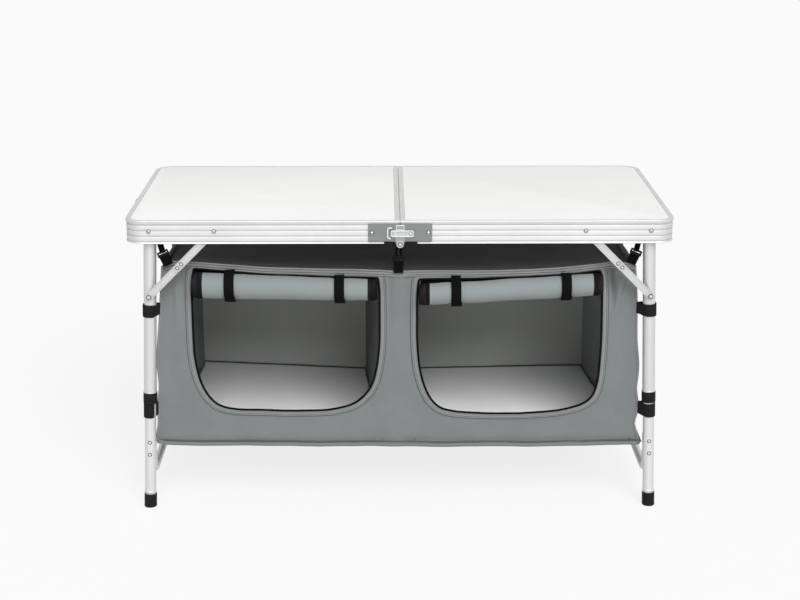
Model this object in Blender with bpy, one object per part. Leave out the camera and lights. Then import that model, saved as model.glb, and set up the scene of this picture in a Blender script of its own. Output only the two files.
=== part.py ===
"""A folding camp table: two fluted aluminium half frames with inset panels, hinged at the
seam, telescopic legs with two-link braces, and a two-compartment organiser bag below."""
import math

import bmesh
import bpy
from mathutils import Vector

# table top
HALF_LENGTH = 0.600
HALF_DEPTH = 0.300
TOP_HEIGHT = 0.675
CORNER_RADIUS = 0.042
SEAM_GAP = 0.0003
CLEARANCE = 0.0003

# section of the frame, measured inwards from the bead and down from the top
FRAME_HEIGHT = 0.0515
RIM_WIDTH = 0.0105
RIM_BEVEL = 0.0010
BEAD_HEIGHT = 0.0100
BEAD_ROUNDING = 0.0035
BEAD_UNDERSIDE = 0.0030
FLUTE_CREST = 0.0015
FLUTE_DEPTH = 0.0012
FLUTE_COUNT = 3
FLUTE_FULLNESS = 0.7
LIP_HEIGHT = 0.0045
LIP_INSET = 0.0009
LIP_BEVEL = 0.0009
WALL_INNER = 0.0042
LEDGE_REACH = 0.0138
LEDGE_THICKNESS = 0.0012
PANEL_DROP = 0.0006
PANEL_THICKNESS = 0.0060
EDGE_BEVEL = 0.0006
NOTCH_HALF_LENGTH = 0.036

# pivots on the frame, and the shape of every rivet head
PIVOT_DROP = 0.0235
LEG_PIVOT_INSET = 0.054
BRACE_PIVOT_SPAN = 0.142
RIVET_RADIUS = 0.0030
RIVET_HEAD_RADIUS = 0.0060
RIVET_HEAD_HEIGHT = 0.0018
SLEEVE_RADIUS = 0.0055
SMALL_RIVET_RADIUS = 0.0036
SMALL_HEAD_HEIGHT = 0.0016
DOME_SHOULDER = 0.85
DOME_CROWN = 0.45
SHOULDER_STEP = 0.0001

# legs, measured along the leg from its pivot
LEG_INSET = 0.029
LEG_SPLAY = math.radians(2.09)
UPPER_RADIUS = 0.0140
LOWER_RADIUS = 0.0125
TUBE_WALL = 0.0012
UPPER_ABOVE_PIVOT = 0.0070
UPPER_SHARE = 0.58963
LOWER_OVERLAP = 0.130
COLLAR_HEIGHT = 0.0255
COLLAR_WALL = 0.0011
COLLAR_FLOOR = 0.0035
FOOT_RADIUS = 0.0142
FOOT_HEIGHT = 0.032
FOOT_SOLE = 0.0050
FOOT_TREAD = 0.0020
TUBE_BEAD_RISE = 0.0060
TUBE_BEAD_WIDTH = 0.0040
TUBE_BEAD_DEPTH = 0.0005

# cross bar between a side's lower legs
CROSS_RADIUS = 0.0090
CROSS_HEIGHT = 0.090
CROSS_TOP_HEIGHT = 0.165
CROSS_BEND = 0.034
CROSS_RIVET_HEIGHTS = (0.153, 0.124)

# braces, in layers measured inwards from the bead
LINK_WIDTH = 0.0165
LINK_THICKNESS = 0.0018
UPPER_LINK_INSET = 0.0054
LOWER_LINK_INSET = 0.0093
LINK_HEAD_HEIGHT = 0.0006
BRACE_ON_LEG = 0.1496
STOP_RIVET_OFFSET = 0.0125

# hinge leaves, latch and pin at the seam
LEAF_LENGTH = 0.070
LEAF_TOP_DROP = 0.0065
LEAF_BOTTOM_MARGIN = 0.0058
LEAF_THICKNESS = 0.0015
LEAF_CORNER = 0.0015
LEAF_RIVET_X = 0.0586
LEAF_RIVET_DROP = 0.033
PIN_RADIUS = 0.0030
PIN_HEAD_RADIUS = 0.0045
PIN_HEAD_HEIGHT = 0.0012
EAR_RADIUS = 0.0055
EAR_OVERLAP = 0.0040
TAB_WIDTH = 0.0200
TAB_TOP_DROP = 0.0300
TAB_REACH = 0.0315
JOGGLE_HEIGHT = 0.0110
LATCH_PIVOT_X = 0.0226
LATCH_TIP_X = -0.0153
LATCH_DROP = 0.0277
LATCH_HEIGHT = 0.0166
LATCH_THICKNESS = 0.0018
CATCH_LENGTH = 0.0080
CATCH_HEIGHT = 0.0242
CATCH_CORNER = 0.0020

# carry handles
HANDLE_LENGTH = 0.170
HANDLE_FOOT = 0.022
HANDLE_BOW = 0.0125
HANDLE_FULLNESS = 0.8
HANDLE_THICKNESS = 0.0040
HANDLE_WIDTH = 0.022
HANDLE_WAIST = 0.018
HANDLE_BEVEL = 0.0014
HANDLE_DROP = 0.028
HANDLE_STEPS = 12

# organiser bag, hung inside the legs, with its opening measured from its own edges
BAG_INSET_Y = 0.045
BAG_INSET_X = 0.074
BAG_FLARE = 0.023
BAG_DROP = 0.107
BAG_SAG = 0.016
BAG_BOTTOM = 0.143
BAG_WALL = 0.0025
BAG_FLOOR = 0.0060
BAG_MIDDLE_GAP = 0.0010
BAG_STATIONS = 6
OPENING_INNER_X = 0.041
OPENING_OUTER_MARGIN = 0.069
OPENING_BOTTOM_MARGIN = 0.080
OPENING_TOP_MARGIN = 0.007
OPENING_LOWER_RADIUS = 0.080
OPENING_UPPER_RADIUS = 0.018

# rolled doors and their straps, placed from the ends of the opening and of the roll
ROLL_RADIUS = 0.0265
ROLL_START_INSET = 0.017
ROLL_END_INSET = 0.005
ROLL_STRAP_SHARES = (0.18, 0.80)
ROLL_END_SHARES = ((0.0, 0.86), (0.02, 0.95), (0.1, 1.0), (0.9, 1.0), (0.98, 0.95), (1.0, 0.86))
WEBBING_WIDTH = 0.022
WEBBING_THICKNESS = 0.0015

# hanging straps with buckles, leaning outwards from the bag's edge to the frame
HANGER_INSET_Y = 0.051
HANGER_TOP_OFFSET = 0.008
HANGER_BOTTOM_OFFSET = -0.012
BUCKLE_WIDTH = 0.030
BUCKLE_HEIGHT = 0.040
BUCKLE_THICKNESS = 0.0075
BUCKLE_SHOULDER = 0.0015
BUCKLE_TAPER = 0.8

# loops that tie the bag to the legs: the lower one under the collar, the upper one on the upper tube
LOWER_LOOP_WIDTH = 0.033
UPPER_LOOP_WIDTH = 0.028
UPPER_LOOP_DROP = 0.2105
LOOP_THICKNESS = 0.0020
LOOP_FLAP_OVERLAP = 0.012
LOOP_FLAP_TAPER = 0.8

OVERCUT = 0.0100
FUSE_INSET = 0.00002
SHARP_ANGLE = math.radians(35)
ROUND_SEGMENTS = 18
ARC_STEPS = 5
RIVET_SEGMENTS = 10
SMALL_SEGMENTS = 8

PIVOT_Z = TOP_HEIGHT - PIVOT_DROP
LEG_PIVOT_X = HALF_LENGTH - LEG_PIVOT_INSET
BRACE_PIVOT_X = LEG_PIVOT_X - BRACE_PIVOT_SPAN
LEG_Y = HALF_DEPTH - LEG_INSET
CREST_Y = HALF_DEPTH - FLUTE_CREST
UPPER_LENGTH = UPPER_SHARE * TOP_HEIGHT
COLLAR_BOTTOM = -UPPER_LENGTH - CLEARANCE - COLLAR_FLOOR
PANEL_BOTTOM = TOP_HEIGHT - PANEL_DROP - PANEL_THICKNESS
HINGE_PIN_DROP = FRAME_HEIGHT + CLEARANCE
LEAF_BOTTOM_DROP = FRAME_HEIGHT - LEAF_BOTTOM_MARGIN
BAG_HALF_DEPTH = HALF_DEPTH - BAG_INSET_Y
BAG_TOP_HALF_LENGTH = HALF_LENGTH - BAG_INSET_X
BAG_TOP_CORNER = TOP_HEIGHT - BAG_DROP
BAG_TOP_MIDDLE = BAG_TOP_CORNER - BAG_SAG
OPENING_OUTER_X = BAG_TOP_HALF_LENGTH - OPENING_OUTER_MARGIN
OPENING_BOTTOM = BAG_BOTTOM + OPENING_BOTTOM_MARGIN
OPENING_TOP = BAG_TOP_MIDDLE - OPENING_TOP_MARGIN
ROLL_START_X = OPENING_INNER_X + ROLL_START_INSET
ROLL_END_X = OPENING_OUTER_X - ROLL_END_INSET
HANGER_Y = HALF_DEPTH - HANGER_INSET_Y
WHERE = {-1: "front", 1: "rear"}


def clear_scene():
    for item in list(bpy.data.objects):
        bpy.data.objects.remove(item)


def material(name, color, roughness, metallic):
    made = bpy.data.materials.new(name)
    made.use_nodes = True
    shader = made.node_tree.nodes["Principled BSDF"]
    shader.inputs["Base Color"].default_value = (*color, 1.0)
    shader.inputs["Roughness"].default_value = roughness
    shader.inputs["Metallic"].default_value = metallic
    return made


def mesh_object(name, bm, finish, parent=None):
    """An object that holds the bmesh, with its faces turned outwards and its edges shaded."""
    bmesh.ops.recalc_face_normals(bm, faces=bm.faces[:])
    mesh = bpy.data.meshes.new(name)
    bm.to_mesh(mesh)
    bm.free()
    if finish:
        mesh.materials.append(finish)
    mesh.shade_smooth()
    mesh.set_sharp_from_angle(angle=SHARP_ANGLE)
    made = bpy.data.objects.new(name, mesh)
    bpy.context.collection.objects.link(made)
    made.parent = parent
    return made


def pivot(name, location, tilt=0.0):
    """An empty on a joint's axis, which carries the pieces that turn or slide there."""
    made = bpy.data.objects.new(name, None)
    made.location = location
    made.rotation_euler = (0.0, tilt, 0.0)
    bpy.context.collection.objects.link(made)
    return made


def combine(target, helper, operation):
    """Cut the helper from the target, or join it on, by a Boolean modifier."""
    helper.hide_render = True
    helper.display_type = "WIRE"
    step = target.modifiers.new(helper.name, "BOOLEAN")
    step.operation = operation
    step.object = helper
    return target


def loft(bm, rings, closed=False):
    """Faces between successive rings of points; open ends are capped."""
    loops = [[bm.verts.new(point) for point in ring] for ring in rings]
    pairs = list(zip(loops, loops[1:]))
    if closed:
        pairs.append((loops[-1], loops[0]))
    for one, two in pairs:
        for i in range(len(one)):
            j = (i + 1) % len(one)
            bm.faces.new((one[i], one[j], two[j], two[i]))
    if not closed:
        bm.faces.new(loops[0])
        bm.faces.new(loops[-1])


def circle(radius, segments=ROUND_SEGMENTS):
    turn = 2 * math.pi / segments
    return [(radius * math.cos(i * turn), radius * math.sin(i * turn)) for i in range(segments)]


def add_rod(bm, start, end, radii, segments=RIVET_SEGMENTS):
    """A turned solid from start to end: radii pairs a share of the length with a radius."""
    start = Vector(start)
    end = Vector(end)
    turn = (end - start).to_track_quat("Z", "Y")
    length = (end - start).length
    rings = []
    for share, radius in radii:
        level = Vector((0, 0, share * length))
        rings.append([start + turn @ (Vector((*xy, 0)) + level) for xy in circle(radius, segments)])
    loft(bm, rings)


def add_turned(bm, profile, centre=(0.0, 0.0), segments=ROUND_SEGMENTS):
    """A closed profile of (radius, z) spun about the upright line through the centre."""
    rings = []
    for radius, z in profile:
        rings.append([(centre[0] + x, centre[1] + y, z) for x, y in circle(radius, segments)])
    loft(bm, rings, closed=True)


def add_plate(bm, outline, near_y, far_y):
    """An outline of (x, z) points, drawn out between two depths."""
    loft(bm, [[(x, y, z) for x, z in outline] for y in (near_y, far_y)])


def arc(centre, radius, start, end, steps=ARC_STEPS):
    angles = [math.radians(start + (end - start) * i / steps) for i in range(steps + 1)]
    return [(centre[0] + radius * math.cos(a), centre[1] + radius * math.sin(a)) for a in angles]


def stadium(one, two, width, steps=ARC_STEPS):
    """A bar of the given width with round ends about two (x, z) points."""
    heading = math.degrees(math.atan2(two[1] - one[1], two[0] - one[0]))
    half = width / 2
    near = arc(one, half, heading + 90, heading + 270, steps)
    return near + arc(two, half, heading - 90, heading + 90, steps)


def rounded_box(low, high, radius, steps=3):
    """A rectangle of (x, z) points between two corners, with round corners."""
    (x0, z0), (x1, z1) = low, high
    return (arc((x1 - radius, z1 - radius), radius, 0, 90, steps)
            + arc((x0 + radius, z1 - radius), radius, 90, 180, steps)
            + arc((x0 + radius, z0 + radius), radius, 180, 270, steps)
            + arc((x1 - radius, z0 + radius), radius, 270, 360, steps))


# table top halves: each ring is one fluted section drawn round the half's outline

def half_outline(side, inset):
    """The half's plan outline: square at the seam, round at the outer corners."""
    seam = SEAM_GAP + inset
    outer = HALF_LENGTH - CORNER_RADIUS
    depth = HALF_DEPTH - CORNER_RADIUS
    radius = CORNER_RADIUS - inset
    points = [(seam, -HALF_DEPTH + inset)]
    points += arc((outer, -depth), radius, -90, 0)
    points += arc((outer, depth), radius, 0, 90)
    points += [(seam, HALF_DEPTH - inset)]
    return [(side * x, y) for x, y in points]


def frame_section():
    """The extrusion's section as (inset, drop) points, from the rim over the bead and down."""
    groove = FLUTE_CREST + FLUTE_DEPTH
    pitch = (FRAME_HEIGHT - BEAD_HEIGHT - LIP_HEIGHT) / FLUTE_COUNT
    ledge_top = PANEL_DROP + PANEL_THICKNESS + CLEARANCE
    ledge_bottom = ledge_top + LEDGE_THICKNESS
    section = [(RIM_WIDTH, PANEL_DROP / 2), (RIM_WIDTH - RIM_BEVEL, 0.0)]
    section += [(BEAD_ROUNDING - x, BEAD_ROUNDING - z) for z, x in arc((0.0, 0.0), BEAD_ROUNDING, 0, 90, 3)]
    section += [(0.0, BEAD_HEIGHT - BEAD_UNDERSIDE), (LIP_INSET, BEAD_HEIGHT - LIP_INSET)]
    for flute in range(FLUTE_COUNT):
        for share in (0.0, 0.15, 0.5, 0.85):
            crown = math.sin(math.pi * share) ** FLUTE_FULLNESS
            section.append((groove - FLUTE_DEPTH * crown, BEAD_HEIGHT + (flute + share) * pitch))
    lip = FRAME_HEIGHT - LIP_HEIGHT
    section += [(groove, lip), (LIP_INSET, lip + LIP_BEVEL)]
    section += [(LIP_INSET, FRAME_HEIGHT - LIP_BEVEL), (LIP_INSET * 2, FRAME_HEIGHT)]
    section += [(WALL_INNER - EDGE_BEVEL, FRAME_HEIGHT), (WALL_INNER, FRAME_HEIGHT - EDGE_BEVEL)]
    section += [(WALL_INNER, ledge_bottom), (LEDGE_REACH, ledge_bottom)]
    section += [(LEDGE_REACH, ledge_top), (RIM_WIDTH, ledge_top)]
    return section


def add_stepped_rod(bm, x, z, face, stations, segments=RIVET_SEGMENTS):
    """A turned rivet or pin along y: stations pair a distance from the middle plane with a radius."""
    start = stations[0][0]
    end = stations[-1][0]
    radii = [((start - reach) / (start - end), radius) for reach, radius in stations]
    add_rod(bm, (x, face * start, z), (x, face * end, z), radii, segments)


def dome(base, height, radius):
    """Stations of a rivet head that rises from its base."""
    return [(base + height, radius * DOME_CROWN), (base + height / 2, radius * DOME_SHOULDER), (base, radius)]


def add_frame_rivets(bm, side):
    """Domed rivets on the outer walls: the legs turn on the long ones, the braces on the short."""
    behind_wall = HALF_DEPTH - WALL_INNER + EDGE_BEVEL
    sleeve_end = LEG_Y + UPPER_RADIUS + CLEARANCE
    leg_back = LEG_Y - UPPER_RADIUS - CLEARANCE
    link_back = HALF_DEPTH - UPPER_LINK_INSET - LINK_THICKNESS - CLEARANCE
    head = dome(CREST_Y, RIVET_HEAD_HEIGHT, RIVET_HEAD_RADIUS) + [(behind_wall, RIVET_HEAD_RADIUS)]
    leg_rivet = head + [(behind_wall - SHOULDER_STEP, SLEEVE_RADIUS), (sleeve_end, SLEEVE_RADIUS),
                        (sleeve_end - SHOULDER_STEP, RIVET_RADIUS), (leg_back, RIVET_RADIUS),
                        (leg_back - SHOULDER_STEP, SLEEVE_RADIUS),
                        (leg_back - RIVET_HEAD_HEIGHT, SLEEVE_RADIUS * DOME_SHOULDER)]
    brace_rivet = head + [(behind_wall - SHOULDER_STEP, RIVET_RADIUS), (link_back, RIVET_RADIUS),
                          (link_back - SHOULDER_STEP, SLEEVE_RADIUS),
                          (link_back - LINK_HEAD_HEIGHT, SLEEVE_RADIUS * DOME_SHOULDER)]
    for face in WHERE:
        add_stepped_rod(bm, side * LEG_PIVOT_X, PIVOT_Z, face, leg_rivet)
        add_stepped_rod(bm, side * BRACE_PIVOT_X, PIVOT_Z, face, brace_rivet)


def build_frame(side, label, finish):
    bm = bmesh.new()
    rings = []
    for inset, drop in frame_section():
        rings.append([(x, y, TOP_HEIGHT - drop) for x, y in half_outline(side, inset)])
    loft(bm, rings, closed=True)
    frame = mesh_object(f"{label}_frame", bm, finish)
    rivets = bmesh.new()
    add_frame_rivets(rivets, side)
    combine(frame, mesh_object(f"{label}_frame_rivets", rivets, finish), "UNION")
    notches = bmesh.new()
    lip_top = TOP_HEIGHT - FRAME_HEIGHT + LIP_HEIGHT
    for face in WHERE:
        outline = [(-side * OVERCUT, lip_top - OVERCUT), (side * NOTCH_HALF_LENGTH, lip_top - OVERCUT),
                   (side * NOTCH_HALF_LENGTH, lip_top), (-side * OVERCUT, lip_top)]
        add_plate(notches, outline, face * (HALF_DEPTH + OVERCUT), face * (HALF_DEPTH - LEDGE_REACH))
    combine(frame, mesh_object(f"{label}_frame_notches", notches, None), "DIFFERENCE")
    return frame


def build_panel(side, label, finish):
    bm = bmesh.new()
    outline = half_outline(side, RIM_WIDTH + CLEARANCE)
    top = TOP_HEIGHT - PANEL_DROP
    loft(bm, [[(x, y, z) for x, y in outline] for z in (PANEL_BOTTOM, top)])
    return mesh_object(f"{label}_top_panel", bm, finish)


def build_handle(side, label, finish):
    """A bowed strap grip with a flat foot at each end, on the end face."""
    bm = bmesh.new()
    half = HANDLE_LENGTH / 2
    wall = HALF_LENGTH - FLUTE_CREST + CLEARANCE
    centre = TOP_HEIGHT - HANDLE_DROP
    flat = half - HANDLE_FOOT
    stations = [flat * (2 * i / HANDLE_STEPS - 1) for i in range(1, HANDLE_STEPS)]
    rings = []
    for y in [-half, -flat] + stations + [flat, half]:
        share = min(abs(y) / flat, 1.0)
        inner = wall + HANDLE_BOW * (1 - share ** 2) ** HANDLE_FULLNESS
        outer = inner + HANDLE_THICKNESS
        width = HANDLE_WIDTH if share == 1.0 else HANDLE_WAIST
        z0 = centre - width / 2
        z1 = centre + width / 2
        rings.append([(side * x, y, z) for x, z in (
            (inner, z0), (outer - HANDLE_BEVEL, z0), (outer, z0 + HANDLE_BEVEL),
            (outer, z1 - HANDLE_BEVEL), (outer - HANDLE_BEVEL, z1), (inner, z1))])
    loft(bm, rings)
    return mesh_object(f"{label}_handle", bm, finish)


# hinge at the seam: flat leaves in one layer, the left one's tab and pin in the next, the latch over both

def leaf_layers():
    first = HALF_DEPTH + CLEARANCE
    second = first + LEAF_THICKNESS + CLEARANCE
    third = second + LEAF_THICKNESS + CLEARANCE
    return first, second, third


def build_leaf(side, label, face, finish):
    first, second, third = leaf_layers()
    pin_z = TOP_HEIGHT - HINGE_PIN_DROP
    leaf_bottom = TOP_HEIGHT - LEAF_BOTTOM_DROP
    bm = bmesh.new()
    low = (CLEARANCE * 2, leaf_bottom)
    outline = rounded_box(low, (LEAF_LENGTH, TOP_HEIGHT - LEAF_TOP_DROP), LEAF_CORNER)
    add_plate(bm, [(side * x, z) for x, z in outline], face * first, face * (first + LEAF_THICKNESS))
    leaf = mesh_object(f"{label}_hinge_leaf_{WHERE[face]}", bm, finish)
    rivet = bmesh.new()
    base = first + LEAF_THICKNESS
    stations = dome(base, SMALL_HEAD_HEIGHT, SMALL_RIVET_RADIUS)
    stations.append((base - LEAF_THICKNESS / 2, SMALL_RIVET_RADIUS))
    add_stepped_rod(rivet, side * LEAF_RIVET_X, TOP_HEIGHT - LEAF_RIVET_DROP, face, stations, SMALL_SEGMENTS)
    combine(leaf, mesh_object(f"{leaf.name}_rivet", rivet, finish), "UNION")
    if side > 0:
        add_ear(leaf, face, finish)
    else:
        add_tab(leaf, face, finish)
        add_catch(leaf, face, finish)
    return leaf


def add_ear(leaf, face, finish):
    """The right leaf's ear, bored for the pin."""
    first, second, third = leaf_layers()
    pin_z = TOP_HEIGHT - HINGE_PIN_DROP
    root = TOP_HEIGHT - LEAF_BOTTOM_DROP + EAR_OVERLAP
    ear = bmesh.new()
    outline = arc((0.0, pin_z), EAR_RADIUS, 95, 345, 10)
    outline += [(LATCH_PIVOT_X, pin_z + EAR_RADIUS), (LATCH_PIVOT_X, root), (CLEARANCE * 3, root)]
    add_plate(ear, outline, face * (first + FUSE_INSET), face * (first + LEAF_THICKNESS - FUSE_INSET))
    combine(leaf, mesh_object(f"{leaf.name}_ear", ear, finish), "UNION")
    hole = bmesh.new()
    bore = PIN_RADIUS + CLEARANCE
    add_stepped_rod(hole, 0.0, pin_z, face, [(third + OVERCUT, bore), (first - OVERCUT, bore)])
    combine(leaf, mesh_object(f"{leaf.name}_bore", hole, None), "DIFFERENCE")


def add_tab(leaf, face, finish):
    """The left leaf's tab, one layer out, with the joggle that carries it and the hinge pin."""
    first, second, third = leaf_layers()
    pin_z = TOP_HEIGHT - HINGE_PIN_DROP
    half = TAB_WIDTH / 2
    tab_top = TOP_HEIGHT - TAB_TOP_DROP
    tab = bmesh.new()
    outline = [(half, tab_top), (-TAB_REACH, tab_top),
               (-TAB_REACH, TOP_HEIGHT - LEAF_BOTTOM_DROP + EAR_OVERLAP / 2), (-half, pin_z + half / 2)]
    outline += arc((0.0, pin_z), EAR_RADIUS + RIM_BEVEL, 200, 340, 8)
    outline += [(half, pin_z + half / 2)]
    add_plate(tab, outline, face * second, face * (second + LEAF_THICKNESS))
    combine(leaf, mesh_object(f"{leaf.name}_tab", tab, finish), "UNION")
    joggle = bmesh.new()
    far_x = -TAB_REACH + EDGE_BEVEL
    near_x = -half - EAR_OVERLAP / 2
    corners = [(far_x, tab_top - EDGE_BEVEL), (far_x, tab_top - JOGGLE_HEIGHT),
               (near_x, tab_top - JOGGLE_HEIGHT), (near_x, tab_top - EDGE_BEVEL)]
    middle = LEAF_THICKNESS / 2
    add_plate(joggle, corners, face * (first + middle), face * (second + middle))
    combine(leaf, mesh_object(f"{leaf.name}_joggle", joggle, finish), "UNION")
    pin = bmesh.new()
    back = first - CLEARANCE
    seat = second + LEAF_THICKNESS / 2
    stations = dome(second + LEAF_THICKNESS, PIN_HEAD_HEIGHT, PIN_HEAD_RADIUS)
    stations += [(seat, PIN_HEAD_RADIUS), (seat - SHOULDER_STEP, PIN_RADIUS), (back, PIN_RADIUS),
                 (back - SHOULDER_STEP, PIN_HEAD_RADIUS), (back - RIM_BEVEL, PIN_HEAD_RADIUS * DOME_SHOULDER)]
    add_stepped_rod(pin, 0.0, pin_z, face, stations)
    combine(leaf, mesh_object(f"{leaf.name}_pin", pin, finish), "UNION")


def add_catch(leaf, face, finish):
    """The upright post that the latch bar's tip lies beside."""
    first, second, third = leaf_layers()
    tip = LATCH_TIP_X - LATCH_HEIGHT / 2 - CLEARANCE * 2
    middle = TOP_HEIGHT - LATCH_DROP
    catch = bmesh.new()
    half = CATCH_HEIGHT / 2
    outline = rounded_box((tip - CATCH_LENGTH, middle - half), (tip, middle + half), CATCH_CORNER)
    add_plate(catch, outline, face * (first + LEAF_THICKNESS / 2), face * (third + LATCH_THICKNESS))
    combine(leaf, mesh_object(f"{leaf.name}_catch", catch, finish), "UNION")


def build_latch(face, finish):
    """A bar with round ends that turns on the right leaf and lies against the catch."""
    third = leaf_layers()[2]
    centre_z = TOP_HEIGHT - LATCH_DROP
    axle = pivot(f"{WHERE[face]}_latch_pivot", (LATCH_PIVOT_X, face * third, centre_z))
    tip = LATCH_TIP_X - LATCH_PIVOT_X
    bm = bmesh.new()
    add_plate(bm, stadium((tip, 0.0), (0.0, 0.0), LATCH_HEIGHT), 0.0, face * LATCH_THICKNESS)
    bar = mesh_object(f"{WHERE[face]}_latch_bar", bm, finish, axle)
    heads = bmesh.new()
    stations = dome(LATCH_THICKNESS, PIN_HEAD_HEIGHT, SMALL_RIVET_RADIUS)
    stations.append((LATCH_THICKNESS / 2, SMALL_RIVET_RADIUS))
    for x in (0.0, tip):
        add_stepped_rod(heads, x, 0.0, face, stations, SMALL_SEGMENTS)
    combine(bar, mesh_object(f"{bar.name}_heads", heads, finish, axle), "UNION")
    return bar


# legs: local z runs up the leg from the pivot, and the whole leg leans outwards by its splay

def along_leg(height):
    """Local z of a point on the leg's centre line at a height above the floor."""
    return (height - PIVOT_Z) / math.cos(LEG_SPLAY)


def tube_profile(radius, top, bottom, wall=TUBE_WALL):
    return [(radius - wall, top), (radius, top), (radius, bottom), (radius - wall, bottom)]


def build_upper_leg(label, face, finish, carrier):
    """The outer tube, bored for its pivot, with the stud that carries the lower link."""
    bm = bmesh.new()
    add_turned(bm, tube_profile(UPPER_RADIUS, UPPER_ABOVE_PIVOT, -UPPER_LENGTH), (0.0, face * LEG_Y))
    leg = mesh_object(f"{label}_{WHERE[face]}_upper_leg", bm, finish, carrier)
    link_face = HALF_DEPTH - LOWER_LINK_INSET + CLEARANCE
    link_back = HALF_DEPTH - LOWER_LINK_INSET - LINK_THICKNESS - CLEARANCE
    root = LEG_Y + UPPER_RADIUS - TUBE_WALL / 2
    stations = [(link_face + LINK_HEAD_HEIGHT, SLEEVE_RADIUS * DOME_SHOULDER), (link_face, SLEEVE_RADIUS),
                (link_face - SHOULDER_STEP, RIVET_RADIUS), (link_back + SHOULDER_STEP, RIVET_RADIUS),
                (link_back, SLEEVE_RADIUS), (root, SLEEVE_RADIUS)]
    stud = bmesh.new()
    add_stepped_rod(stud, 0.0, -BRACE_ON_LEG, face, stations)
    combine(leg, mesh_object(f"{leg.name}_stud", stud, finish, carrier), "UNION")
    hole = bmesh.new()
    bore = RIVET_RADIUS + CLEARANCE
    reach = UPPER_RADIUS + EDGE_BEVEL
    add_stepped_rod(hole, 0.0, 0.0, face, [(LEG_Y + reach, bore), (LEG_Y - reach, bore)])
    combine(leg, mesh_object(f"{leg.name}_bore", hole, None, carrier), "DIFFERENCE")
    return leg


def build_collar(label, face, finish, carrier):
    """A plastic ferrule over the upper tube's end, whose floor guides the lower tube."""
    floor = COLLAR_BOTTOM + COLLAR_FLOOR
    top = COLLAR_BOTTOM + COLLAR_HEIGHT
    bore = UPPER_RADIUS + CLEARANCE
    guide = LOWER_RADIUS + CLEARANCE
    rim = bore + COLLAR_WALL
    profile = [(bore, top), (rim - EDGE_BEVEL / 2, top), (rim, top - EDGE_BEVEL),
               (rim, COLLAR_BOTTOM + EDGE_BEVEL), (rim - EDGE_BEVEL, COLLAR_BOTTOM), (guide, COLLAR_BOTTOM),
               (guide, floor), (bore, floor)]
    bm = bmesh.new()
    add_turned(bm, profile, (0.0, face * LEG_Y))
    return mesh_object(f"{label}_{WHERE[face]}_collar", bm, finish, carrier)


def build_lower_leg(label, face, finish, carrier):
    """The sliding tube, with a rolled bead above the foot and two rivet heads in front."""
    top = -UPPER_LENGTH + LOWER_OVERLAP
    bottom = along_leg(FOOT_SOLE + CLEARANCE)
    bead = along_leg(FOOT_HEIGHT + TUBE_BEAD_RISE)
    inner = LOWER_RADIUS - TUBE_WALL
    crest = LOWER_RADIUS + TUBE_BEAD_DEPTH
    wide = TUBE_BEAD_WIDTH / 2
    flat = TUBE_BEAD_WIDTH / 5
    profile = [(inner, top), (LOWER_RADIUS, top), (LOWER_RADIUS, bead + wide), (crest, bead + flat),
               (crest, bead - flat), (LOWER_RADIUS, bead - wide), (LOWER_RADIUS, bottom), (inner, bottom)]
    bm = bmesh.new()
    add_turned(bm, profile, (0.0, face * LEG_Y))
    leg = mesh_object(f"{label}_{WHERE[face]}_lower_leg", bm, finish, carrier)
    heads = bmesh.new()
    surface = LEG_Y + LOWER_RADIUS
    stations = dome(surface, SMALL_HEAD_HEIGHT, SMALL_RIVET_RADIUS)
    stations.append((surface - TUBE_WALL / 2, SMALL_RIVET_RADIUS))
    for height in CROSS_RIVET_HEIGHTS:
        add_stepped_rod(heads, 0.0, along_leg(height), face, stations, SMALL_SEGMENTS)
    combine(leg, mesh_object(f"{leg.name}_rivets", heads, finish, carrier), "UNION")
    return leg


def build_foot(side, label, face, finish, carrier):
    """A cup on the tube's end, cut level with the floor."""
    y = face * LEG_Y
    bore = LOWER_RADIUS + CLEARANCE

    def ring(radius, height, level):
        points = []
        for dx, dy in circle(radius):
            z = along_leg(height)
            if level:
                z = (height - PIVOT_Z - side * dx * math.sin(LEG_SPLAY)) / math.cos(LEG_SPLAY)
            points.append((dx, y + dy, z))
        return points

    rings = [ring(bore, FOOT_HEIGHT, False), ring(FOOT_RADIUS - EDGE_BEVEL, FOOT_HEIGHT, False),
             ring(FOOT_RADIUS, FOOT_HEIGHT - EDGE_BEVEL, False), ring(FOOT_RADIUS, FOOT_TREAD, True),
             ring(FOOT_RADIUS - FOOT_TREAD / 2, 0.0, True)]
    bm = bmesh.new()
    loops = [[bm.verts.new(point) for point in row] for row in rings]
    pocket = [bm.verts.new(point) for point in ring(bore, FOOT_SOLE, False)]
    chain = [pocket] + loops
    for one, two in zip(chain, chain[1:]):
        for i in range(len(one)):
            j = (i + 1) % len(one)
            bm.faces.new((one[i], one[j], two[j], two[i]))
    bm.faces.new(pocket)
    bm.faces.new(loops[-1])
    return mesh_object(f"{label}_{WHERE[face]}_foot", bm, finish, carrier)


def build_cross_bar(label, finish, carrier):
    """A bent tube: down behind the front leg, across, and up behind the rear leg."""
    half = LEG_Y - LOWER_RADIUS - CLEARANCE - CROSS_RADIUS
    top = along_leg(CROSS_TOP_HEIGHT)
    low = along_leg(CROSS_HEIGHT)
    bend = arc((-half + CROSS_BEND, low + CROSS_BEND), CROSS_BEND, 180, 270, 6)
    front = [(-half, top), (-half, (top + low + CROSS_BEND) / 2)] + bend
    path = front + [(-y, z) for y, z in reversed(front)]
    curve = bpy.data.curves.new(f"{label}_cross_bar", "CURVE")
    curve.dimensions = "3D"
    spline = curve.splines.new("POLY")
    spline.points.add(len(path) - 1)
    for point, (y, z) in zip(spline.points, path):
        point.co = (0.0, y, z, 1.0)
    curve.bevel_depth = CROSS_RADIUS
    curve.bevel_resolution = 3
    curve.use_fill_caps = True
    curve.materials.append(finish)
    bar = bpy.data.objects.new(f"{label}_cross_bar", curve)
    bpy.context.collection.objects.link(bar)
    bar.parent = carrier
    return bar


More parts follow.
